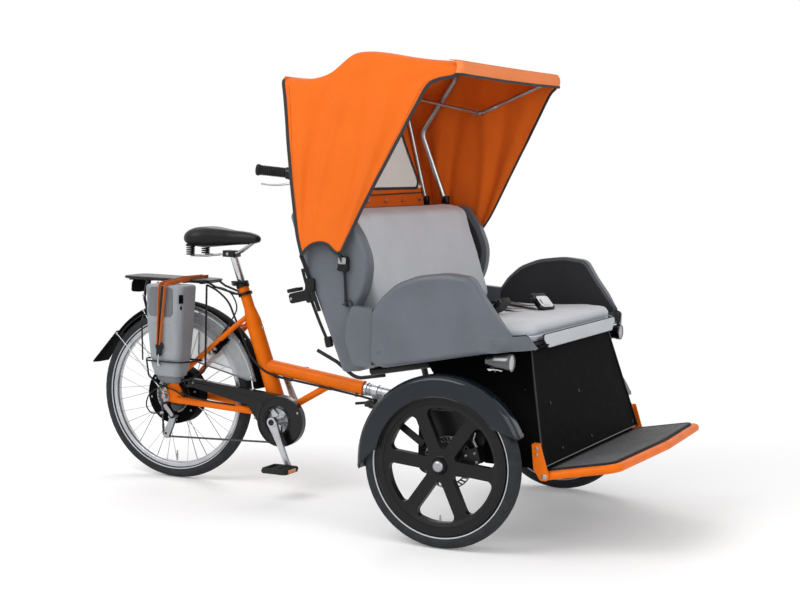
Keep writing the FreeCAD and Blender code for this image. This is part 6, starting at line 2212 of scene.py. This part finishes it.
    def housings(self) -> Object:
        """Cable housings clipped to the frame: down the seat tube, to the rim brake, along the chain stay."""
        runs = (
            [(-1.120, -.030, .694), (-1.075, -.034, .676), (-1.030, -.036, .640), (-1.004, -.036, .590),
             (-.980, -.034, .540), (-.955, -.036, .490), (-.925, -.037, .445), (-.885, -.030, .410),
             (-.840, -.016, .393), (-.790, -.012, .3845)],
            [(-1.100, -.022, .690), (-1.050, -.028, .684), (-1.016, -.030, .662), (-.998, -.032, .620),
             (-1.015, -.040, .575), (-1.032, -.046, .548)],
            [(-1.190, -.080, .318), (-1.150, -.082, .306), (-1.080, -.078, .296), (-.980, -.068, .289)],
        )
        surfaces = [cable([spot(*p) for p in run], r, 80, 10, FORWARD + .3 * LEFTWARD)
                    for run, r in zip(runs, (.0036, .0025, .0026))]
        for x, z, lean in ((-.967, .513, .35), (-.790, .385, -1.45), (-.640, .366, -1.45),
                           (-.540, .352, -1.45)):
            way = np.array([math.sin(lean), 0, math.cos(lean)])
            surfaces.append(turned([(-.004, .0060), (.004, .0060)], spot(x, -.034 if z > .4 else -.012, z),
                                   unit(way), 16, slot=1))
        return piece("cable_housings", "rear_frame", surfaces, [self.finish.rubber, self.finish.gloss])

    def lamp(self) -> Object:
        """Rear lamp's red lens, round reflector and bracket."""
        surfaces = [plate(rectangle(.060, .030, .010), .006, spot(-1.4305, 0, .6765), LEFTWARD, UPWARD, 0),
                    turned([(-.001, .0105), (.003, .0105), (.0045, .0080), (.005, .0002)],
                           spot(-1.4335, 0, .6765), -FORWARD, 32),
                    plate(rectangle(.026, .050, .004), .006, spot(-1.409, 0, .7005), FORWARD, LEFTWARD, 1)]
        return bevelled(piece("rear_lamp_lens", "rear_frame", surfaces, [self.finish.red, self.finish.panel]),
                        .0012)

    def guard_stays(self) -> Object:
        """Wire stays and rolled edges of the rear mudguard, with screws at the stays' ends."""
        surfaces = []
        for side in SIDES.values():
            surfaces += [cable([spot(-1.258, side * .0790, .306), spot(-1.330, side * .064, .366),
                                spot(-1.420, side * .044, .440), spot(-1.492, side * .0325, .500)], .0019, 40,
                               8, LEFTWARD, 1),
                         cable([spot(-1.258, side * .0790, .306), spot(-1.300, side * .062, .420),
                                spot(-1.345, side * .042, .540), spot(-1.380, side * .0325, .590)], .0019, 40,
                               8, LEFTWARD, 1)]
            line = arc_line(GUARD_MIDDLE + [0, side * .0305, 0], .3125, 9, 142, 110)
            surfaces.append(swept(line, circle(.0021, 8), LEFTWARD))
            surfaces += [screw_head(spot(x, side * .0320, z), side * LEFTWARD, .0050, .003, 1)
                         for x, z in ((-1.492, .500), (-1.380, .590))]
        return piece("rear_mudguard_stays", "rear_frame", surfaces, [self.finish.black, self.finish.steel])

    def rim_brake(self) -> Object:
        """Rim brake arms on the stays with their pads, and the lock's key barrel."""
        surfaces = []
        for side in SIDES.values():
            foot, head = spot(-1.083, side * .050, .462), spot(-1.030, side * .046, .548)
            surfaces += [swept(np.stack([foot, foot * .5 + head * .5 + [.006, side * .008, 0], head]),
                               rectangle(.014, .010, .003), LEFTWARD, np.array([1.2, 1.0, .7])),
                         turned([(side * -.010, .009), (side * .012, .009), (side * .014, .006)], foot,
                                LEFTWARD, 24, slot=1),
                         plate(rectangle(.052, .011, .004), .010, spot(-1.068, side * .033, .492),
                               unit([.62, 0, .78]), unit([-.78, 0, .62]), 2),
                         turned([(side * .001, .0055), (side * .018, .0055)], spot(-1.068, side * .036, .492),
                                LEFTWARD, 12, slot=1)]
        surfaces += [tube([spot(-1.030, .046, .548), spot(-1.026, .020, .562), spot(-1.030, -.046, .548)],
                          .0018, .01, 8, slot=1),
                     turned([(0, .0060), (.008, .0060), (.010, .0050), (.010, .0002)],
                            spot(-1.062, -.062, .478), -LEFTWARD, 28, slot=1)]
        return bevelled(piece("rim_brake", "rear_frame", surfaces,
                              [self.finish.gloss, self.finish.steel, self.finish.rubber]),
                        .0010)

    def frame_fittings(self) -> Object:
        """Weld beads, bottle bolts, dropout nuts and the rim of the crank shell."""
        middle = spot(self.crank[0], 0, self.crank[1])
        surfaces = []
        for side in SIDES.values():
            surfaces += [turned([(side * .034, .0262), (side * .0405, .0262), (side * .0405, .0170)], middle,
                                LEFTWARD, 40, slot=1),
                         screw_head(spot(-1.252, side * .0780, .300), side * LEFTWARD, .0105, .010, 1, 6)]
        way = unit([.39, 0, -.0515])
        surfaces += [turned([(-.006, .0250), (0, .0262), (.006, .0250)], spot(-.898, 0, .426), way, 48),
                     turned([(-.004, .0246), (0, .0254), (.004, .0246)], spot(-.520, 0, .3762), way, 48)]
        tilt = unit([-.36, 0, .933])
        surfaces.append(turned([(-.003, .0196), (0, .0206), (.005, .0204), (.008, .0194)],
                               spot(-.9915, 0, .690), tilt, 48))
        collar = np.array([(-.005, .0205), (-.005, .0250), (.005, .0250), (.005, .0205)])
        surfaces += [ring(collar, spot(-.9830, 0, .668), tilt, 48, slot=2),
                     plate(rectangle(.030, .060, .004), .004, spot(-1.0110, 0, .668), FORWARD, LEFTWARD, 2)]
        surfaces += [screw_head(spot(x, 0, z), unit([.933, 0, .36]), .0048, .003, 1, 16)
                     for x, z in ((-.912, .555), (-.871, .440))]
        return piece("frame_fittings", "rear_frame", surfaces,
                     [self.finish.frame, self.finish.steel, self.finish.black])


# ---------------------------------------------------------------- front unit's fittings


@dataclass
class FrontFittings:
    """Lamps, panel trim, footplate, controls and coupling details.

    Attributes:
        finish: the vehicle's materials.
        lamp: middle of a headlamp's axis, height and distance from the middle plane.
        hinge: footplate hinge, x from the front axle and height.
        tilt: footplate's rise towards its front edge, in degrees.
    """

    finish: Finish
    lamp: tuple = (.522, .568)
    hinge: tuple = (.303, .236)
    tilt: float = 11.0

    def build(self) -> list[Object]:
        """Make every fitting."""
        return [*self.headlamps(), self.panel_trim(), self.tub_trim(), *self.deck(), self.hinge_trim(),
                *self.grips(), self.post_bands(), self.coupling_trim(), self.shell_clamps(), self.hood_ends(),
                self.hood_front_ends(), self.underside()]

    def headlamps(self) -> list[Object]:
        """Round headlamps: ribbed bright bodies, reflectors with bulbs, fluted glasses and brackets."""
        made = []
        for name, side in SIDES.items():
            at = spot(0, side * self.lamp[0], self.lamp[1])
            body = [(.128, .0002), (.1283, .0080), (.131, .0118), (.136, .0128), (.150, .0185), (.160, .0212),
                    (.1605, .0222), (.163, .0222), (.1635, .0212), (.178, .0232), (.196, .0250),
                    (.1965, .0262), (.2085, .0262), (.2110, .0250), (.2110, .0232), (.2070, .0228),
                    (.198, .0180), (.192, .0090), (.190, .0002)]
            surfaces = [turned(np.array(body), at, FORWARD, 56),
                        turned([(.190, .0040), (.199, .0040), (.2015, .0020), (.202, .0002)], at, FORWARD, 20,
                               slot=2)]
            t = np.linspace(0, 2 * math.pi, 60, endpoint=False)
            flute = 1 + .0006 * np.cos(20 * t)
            rows = np.array([(.2072, .0226), (.2092, .0224), (.2108, .0170), (.2116, .0090), (.2118, .0004)])
            grid = at + rows[:, None, :1] * FORWARD + rows[:, 1:, None] * flute[None, :, None] * (
                np.cos(t)[:, None] * LEFTWARD + np.sin(t)[:, None] * UPWARD)
            surfaces.append(Surface(grid, slot=1))
            foot, tip = spot(.150, side * .519, .549), spot(.150, side * .394, .536)
            surfaces += [tube([foot, spot(.150, side * .505, .536), tip], .0052, .012, 14, slot=3),
                         plate(rectangle(.050, .010, .003), .003, spot(.160, side * .522, .5460), FORWARD,
                               LEFTWARD, 3),
                         screw_head(spot(.142, side * .522, .5445), -UPWARD, .0052, .004, 3, 6),
                         screw_head(spot(.176, side * .522, .5445), -UPWARD, .0042, .003, 3, 6)]
            made.append(piece(f"headlamp_{name}", "front_unit", surfaces,
                              [self.finish.lamp, self.finish.lens, self.finish.amber, self.finish.chrome],
                              ["headlamps"] if side < 0 else []))
        return made

    @staticmethod
    def panel_x(z: Array) -> Array:
        """Front face of the front panel at a height, from its lower and upper edges."""
        return .296 + (z - .257) / .353 * (.205 - .296)

    @staticmethod
    def panel_half(z: Array) -> Array:
        """Half width of the front panel at a height."""
        return .469 + (z - .257) / .353 * (.364 - .469)

    def panel_trim(self) -> Object:
        """Round bolts of the front and side panels, and edge strips along its sides and its lower edge."""
        out = unit([1, 0, .258])
        surfaces = []
        for y, z in ((-.301, .428), (-.034, .434), (-.003, .287), (-.278, .290), (.428, .277)):
            surfaces.append(screw_head(spot(self.panel_x(z) + .0003, y, z), out, .0055, .0022, 0, 16))
        for side in SIDES.values():
            y = self.panel_half(.474) - .0020
            surfaces.append(screw_head(spot(.209, side * y, .474), side * LEFTWARD, .0055, .0022, 0, 16))
            heights = np.linspace(.259, .600, 30)
            edge = np.stack([AXLE_X + self.panel_x(heights) + .0005,
                             side * (self.panel_half(heights) - .0015), heights], -1)
            surfaces.append(swept(edge, circle(.0035, 12), FORWARD))
        lower = np.stack([np.full(40, AXLE_X + .2965), np.linspace(-.467, .467, 40), np.full(40, .2585)], -1)
        surfaces.append(swept(lower, rectangle(.006, .010, .0028, 4)))
        return piece("front_panel_trim", "front_unit", surfaces, [self.finish.gloss])

    def tub_trim(self) -> Object:
        """Screws and parting lines of the tub and the shell, and a black strip along the tub's lower front
        edge that paints the shade of the gap there.
        """
        surfaces = []
        for side in SIDES.values():
            surfaces += [screw_head(spot(x, side * .5478, z), side * LEFTWARD, .0058, .0022, 0, 18)
                         for x, z in ((-.205, .575), (.165, .622))]
            joint = smooth_line([spot(-.2385, side * .5150, .556), spot(-.2388, side * .5155, .620),
                                 spot(-.2384, side * .5150, .690)], 30)
            surfaces.append(swept(joint, rectangle(.004, .020, .0015, 3), side * LEFTWARD, slot=1))
        for side in SIDES.values():
            surfaces += self.corner_rim(side)
        # Painted shade: a black strip along the tub's lower front edge stands for the dark gap there.
        line = smooth_line([spot(.2435, -.395, .6050), spot(.2435, -.200, .6052), spot(.2435, 0, .6054),
                            spot(.2435, .200, .6052), spot(.2435, .395, .6050)], 60)
        surfaces.append(swept(line, rectangle(.006, .008, .0025, 4), slot=1))
        return piece("tub_trim", "front_unit", surfaces, [self.finish.shell, self.finish.panel])

    @staticmethod
    def corner_rim(side: int) -> list[Surface]:
        """Raised rim with a dark edge round a front corner of the tub, stepping down to the seat's flap.

        The rim follows a quarter circle in plan; its height is a smooth step of the angle from ahead.
        """
        turns = np.radians(np.linspace(-4, 84, 30))
        tops = .6060 + .0370 * smooth_step((np.degrees(turns) + 2) / 26)
        ways = np.stack([np.cos(turns), side * np.sin(turns)], -1)
        rows = []
        for way, top in zip(ways, tops):
            flat = rounded_outline([(.1400, .5990, .001), (.1492, .5990, .001), (.1492, top, .003),
                                    (.1400, top, .003)], 4)
            place = flat[:, :1] * way + [AXLE_X + .093, side * .400]
            rows.append(np.concatenate([place, flat[:, 1:]], -1))
        edge = np.concatenate([.1435 * ways + [AXLE_X + .093, side * .400], tops[:, None] + .0006], -1)
        return [Surface(np.stack(rows)), swept(edge, circle(.0022, 8), slot=1)]

    def on_deck(self, points: Array) -> Array:
        """Points drawn about the hinge on a level deck, turned up by the deck's tilt and set at the hinge."""
        turn = spin_about(LEFTWARD, -math.radians(self.tilt))
        return np.asarray(points, float) @ turn.T + spot(self.hinge[0], 0, self.hinge[1])

    def deck(self) -> list[Object]:
        """Rubber edge round the deck and rows of small round studs on it."""
        outline = rounded_outline([(.012, -.437, .006), (.199, -.428, .030), (.220, 0, .9),
                                   (.199, .428, .030), (.012, .437, .006)], 14)
        loop = self.on_deck(np.concatenate([outline, np.full((len(outline), 1), .0155)], -1))
        up = self.on_deck([[0, 0, 1]])[0] - self.on_deck([[0, 0, 0]])[0]
        edge = swept(loop, rectangle(.007, .007, .0028, 4), up, closed=True)
        studs = []
        dome = np.array([(-.0004, .0042), (.0006, .0036), (.0012, .0020), (.0013, .0002)])
        for row, x in enumerate(np.arange(.032, .190, .0265)):
            for y in np.arange(-.400 + .014 * (row % 2), .401, .028):
                studs.append(turned(dome, self.on_deck([[x, y, .0170]])[0], up, 8))
        return [piece("footplate_edging", "boarding_plate", [edge], [self.finish.rubber]),
                piece("footplate_studs", "boarding_plate", studs, [self.finish.deck])]

    def hinge_trim(self) -> Object:
        """Hinge pins' heads, the strip behind the deck and the bolts of the brackets."""
        surfaces = []
        for side in SIDES.values():
            surfaces.append(screw_head(spot(self.hinge[0], side * .4755, self.hinge[1]), side * LEFTWARD,
                                       .0085, .004, 1, 24))
            surfaces += [screw_head(spot(.278, side * .4755, z), side * LEFTWARD, .0048, .003, 1, 16)
                         for z in (.300, .318)]
        surfaces.append(plate(rectangle(.036, .900, .004), .0040, spot(.2990, 0, .2440), FORWARD, LEFTWARD,
                              2))
        return piece("hinge_trim", "front_unit", surfaces,
                     [self.finish.frame, self.finish.steel, self.finish.rubber])

    def grips(self) -> list[Object]:
        """Handlebar ends: ribbed grips with flared ends, twist shifter, brake lever, clamp and bell."""
        made = []
        for name, side in SIDES.items():
            start, end = spot(-.628, side * .282, 1.092), spot(-.760, side * .330, 1.104)
            way = unit(end - start)
            length = float(np.linalg.norm(end - start))
            along = np.linspace(.043, length - .004, 90)
            radius = .0158 + .0011 * np.cos(along / .0060 * 2 * math.pi) * (along < length - .012)
            radius += .0030 * np.exp(-((along - length + .008) / .006) ** 2)
            tip = [(length - .001, .0150), (length + .001, .0002)]
            profile = np.concatenate([[(.043, .0113)], np.stack([along, radius], -1), tip])
            collar = np.array([(.018, .0113), (.018, .0200), (.021, .0218), (.028, .0222), (.034, .0205),
                               (.0425, .0195), (.0425, .0113)])
            surfaces = [turned(profile, start, way, 48), turned(collar, start, way, 40, slot=1)]
            pivot = start + way * .024 + [0, 0, -.014]
            lever = smooth_line([pivot, spot(-.640, side * .300, 1.066), spot(-.668, side * .308, 1.0585),
                                 spot(-.705, side * .321, 1.0560), spot(-.738, side * .333, 1.0590)], 50)
            surfaces += [swept(lever, rectangle(.0125, .0065, .003, 4), UPWARD, np.linspace(1.25, .78, 50),
                               slot=2),
                         turned([(-.010, .0062), (.010, .0062), (.012, .004)], pivot, UPWARD, 18, slot=2),
                         plate(rectangle(.030, .022, .006), .016, start + way * .014 + [0, 0, -.012], way,
                               UPWARD, 1)]
            if side > 0:
                bell = np.array([(0, .019), (.003, .020), (.009, .0185), (.013, .012), (.0145, .0002)])
                surfaces += [turned(bell, spot(-.606, .246, 1.094), UPWARD, 36, slot=2),
                             plate(rectangle(.020, .012, .003), .014, spot(-.606, .246, 1.088), FORWARD,
                                   LEFTWARD, 1)]
            obj = piece(f"handlebar_end_{name}", "front_unit", surfaces,
                        [self.finish.rubber, self.finish.gloss, self.finish.steel],
                        ["handlebar_controls"] if side < 0 else [])
            made.append(bevelled(obj, .0006, 1))
        return made

    def post_bands(self) -> Object:
        """Bands round the handlebar post and the clamp under the bar."""
        surfaces = []
        head, foot = spot(-.618, 0, 1.040), spot(-.400, 0, .520)
        for t in (.10, .30, .52):
            here = head * (1 - t) + foot * t
            surfaces.append(ring([(-.003, .0160), (.003, .0160), (.003, .0176), (-.003, .0176)], here,
                                 unit(head - foot), 36))
        clamp = [(-.024, .0165), (-.024, .0205), (.010, .0205), (.014, .0180)]
        surfaces.append(turned(np.array(clamp), spot(-.612, 0, 1.026), unit([-.218, 0, .52]), 40, slot=1))
        return piece("handlebar_post_bands", "front_unit", surfaces, [self.finish.rubber, self.finish.gloss])

    def coupling_trim(self) -> Object:
        """Collars of the coupling tube, its quick clamp with a lever, and the lead's plug under it."""
        foot, head = spot(-.515, 0, .3755), spot(-.306, 0, .346)
        way = unit(head - foot)
        surfaces = []
        for along, wide, radius, slot in ((.004, .010, .0232, 0), (.020, .006, .0214, 1),
                                          (.034, .020, .0228, 0), (.066, .005, .0212, 1),
                                          (.150, .012, .0222, 0)):
            edge = [(0, .0200), (0, radius - .001), (.001, radius), (wide - .001, radius),
                    (wide, radius - .001), (wide, .0200)]
            surfaces.append(ring(edge, foot + way * along, way, 56, slot))
        at = foot + way * .044 + [0, 0, -.026]
        surfaces += [plate(rectangle(.022, .018, .004), .022, at, way, UPWARD, 1),
                     turned([(-.030, .0048), (.026, .0048)], at, LEFTWARD, 16, slot=1),
                     turned([(0, .0105), (.004, .0120), (.012, .0120), (.016, .0100)], at + [0, -.034, -.006],
                            FORWARD, 28, slot=2),
                     tube([at + [0, -.030, 0], at + [-.020, -.036, -.010], at + [-.060, -.034, -.016]], .0050,
                          .012, 14, slot=2),
                     turned([(0, .0002), (0, .013), (.028, .013), (.034, .009), (.046, .008)],
                            at + [.006, 0, -.022], -FORWARD, 24, slot=2)]
        for z in (.2735, .4045):
            surfaces.append(turned([(-.002, .0190), (.004, .0190), (.009, .0165), (.010, .0002)],
                                   spot(-.240, 0, z), UPWARD if z > .3 else -UPWARD, 6, slot=1))
        return piece("coupling_trim", "rear_frame", surfaces,
                     [self.finish.alloy, self.finish.steel, self.finish.gloss])

    def shell_clamps(self) -> Object:
        """Strap tensioners on the shell's rear edge, with their webbing down to the shell's foot."""
        surfaces = []
        for side in SIDES.values():
            y = side * .4885
            strap = smooth_line([spot(-.500, y, .806), spot(-.487, y, .765), spot(-.466, y, .710),
                                 spot(-.440, y, .652), spot(-.412, y, .596)], 50)
            surfaces.append(swept(strap, rectangle(.0024, .011, .001, 2)[:, ::-1], LEFTWARD))
            tilt = unit([.95, 0, .24])
            up = np.cross(tilt, LEFTWARD)
            surfaces += [plate(rectangle(.074, .032, .009), .024, spot(-.502, y, .7200), tilt, up, 1),
                         plate(rectangle(.040, .012, .004), .032, spot(-.524, y, .7390), tilt, up, 1),
                         plate(rectangle(.026, .046, .009), .022, spot(-.471, y, .7260), tilt, up, 1),
                         turned([(-.016, .0045), (.016, .0045)], spot(-.530, y, .7120), LEFTWARD, 16, slot=2),
                         plate(rectangle(.020, .034, .006), .016, spot(-.404, y, .5860), tilt, up, 1)]
        return bevelled(piece("shell_strap_clamps", "front_unit", surfaces,
                              [self.finish.webbing, self.finish.gloss, self.finish.steel]),
                        .0012)

    def hood_ends(self) -> Object:
        """Feet, rivets and end caps of the hood's fixed bows and stays."""
        surfaces = []
        for side in SIDES.values():
            for x, y, z, radius in ((-.4395, .4706, .9945, .0135), (-.5135, .4690, .9925, .0115)):
                surfaces.append(turned([(-.012, radius), (-.010, radius + .001), (.022, radius),
                                        (.024, radius - .002)],
                                       spot(x, side * y, z), UPWARD, 32))
            surfaces += [screw_head(spot(x, side * .3950, z), side * LEFTWARD, .0042, .0025, 1, 16)
                         for x, z in ((-.560, 1.3665), (-.420, 1.3385), (-.308, 1.3158))]
            surfaces += [plate(rectangle(.034, .0165, .008), .0060, spot(-.296, side * .3880, 1.3135),
                               slot=2),
                         screw_head(spot(-.284, side * .3810, 1.311), -side * LEFTWARD, .0070, .0030, 1, 24)]
        return piece("hood_bow_ends", "front_unit", surfaces,
                     [self.finish.gloss, self.finish.steel, self.finish.alloy])

    def hood_front_ends(self) -> Object:
        """Rivets and black sleeves of the hood's swinging front bow."""
        surfaces = []
        for side in SIDES.values():
            way = unit([.254, 0, .113])
            knee = spot(-.284, side * .404, 1.311)
            surfaces += [screw_head(knee + way * d + [0, -side * .0062, 0], -side * LEFTWARD, .0040, .0022, 0,
                                    16)
                         for d in (.030, .050, .215)]
            surfaces.append(turned([(.020, .0076), (.022, .0086), (.060, .0086), (.062, .0076)], knee, way,
                                   28, slot=1))
        return piece("hood_front_bow_ends", "hood_front", surfaces, [self.finish.steel, self.finish.alloy])

    def underside(self) -> Object:
        """Bolts that hold the tub on its rails and the end plugs of the rails."""
        surfaces = []
        for side in SIDES.values():
            for x in (-.330, .206):
                z = .511 + .197 * (x + .195)
                out = unit([math.copysign(1, x), 0, math.copysign(.197, x)])
                surfaces.append(turned([(-.001, .0142), (.002, .0142), (.004, .0120), (.0045, .0002)],
                                       spot(x, side * .330, z), out, 24))
            surfaces += [screw_head(spot(x, side * .300, .5105 + .197 * (x + .195)), -UPWARD, .0070, .005, 1,
                                    6)
                         for x in (-.215, .188)]
        return piece("underside_fittings", "front_unit", surfaces, [self.finish.gloss, self.finish.steel])


# ---------------------------------------------------------------- carried CAD nodes


def dress_frame(finish: Finish) -> None:
    """Give every carried CAD node its finish.

    Args:
        finish: the vehicle's materials.
    """
    for material, nodes in (
        (finish.frame, ("main_frame", "chain_stays", "seat_stays", "footplate_rim", "footplate_brackets")),
        (finish.black, ("rack", "battery_cradle", "front_subframe", "handlebar", "release_lever",
                        "fender_stays", "brake_calipers")),
        (finish.wheel, ("front_wheel_right", "front_wheel_left")),
        (finish.alloy, ("rear_rim", "crankset", "hood_main_bow", "hood_rear_frame", "hood_front_bow")),
        (finish.steel, ("coupling", "brake_disc_right", "brake_disc_left", "cassette", "chain", "derailleur",
                        "seat_post")),
        (finish.shell, ("seat_tub", "backrest_shell")),
        (finish.panel, ("front_box", "rear_fender", "rear_lamp", "ring_lock", "hub_motor")),
        (finish.gloss, ("chain_case",)),
        (finish.rubber, ("pedal_right", "pedal_left", "handlebar_controls", "frame_cables")),
        (finish.saddle, ("saddle",)),
        (finish.cushion, ("seat_cushion", "back_cushion")),
        (finish.hood, ("hood_rear_cloth", "hood_front_cloth")),
        (finish.battery, ("battery_case",)),
        (finish.clear, ("coat_guard",)),
        (finish.smoke, ("front_fender_right", "front_fender_left")),
        (finish.chrome, ("headlamps",)),
        (finish.deck, ("footplate",)),
    ):
        dress(nodes, material)
    for name in ("front_tyre_right", "front_tyre_left", "rear_tyre"):
        low, high = box_of(name)
        middle = tuple((low + high) / 2)
        seat = (high[2] - low[2]) / 2 - 0.042
        dress([name], Striped(name + "_rubber", Tone.TYRE_GREY, middle, seat).material())


# ---------------------------------------------------------------- the whole vehicle


def main() -> None:
    """Build the studio and every sub-assembly."""
    logging.basicConfig(level=logging.INFO, format="%(name)s %(message)s")
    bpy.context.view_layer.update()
    Studio().build()
    finish = Finish()
    dress_frame(finish)
    for assembly in (Hood(finish), Seat(finish), Wheels(finish), RearEnd(finish), FrontFittings(finish)):
        LOG.info("%s: %d pieces", type(assembly).__name__, len(assembly.build()))


if __name__ == "__main__":
    main()
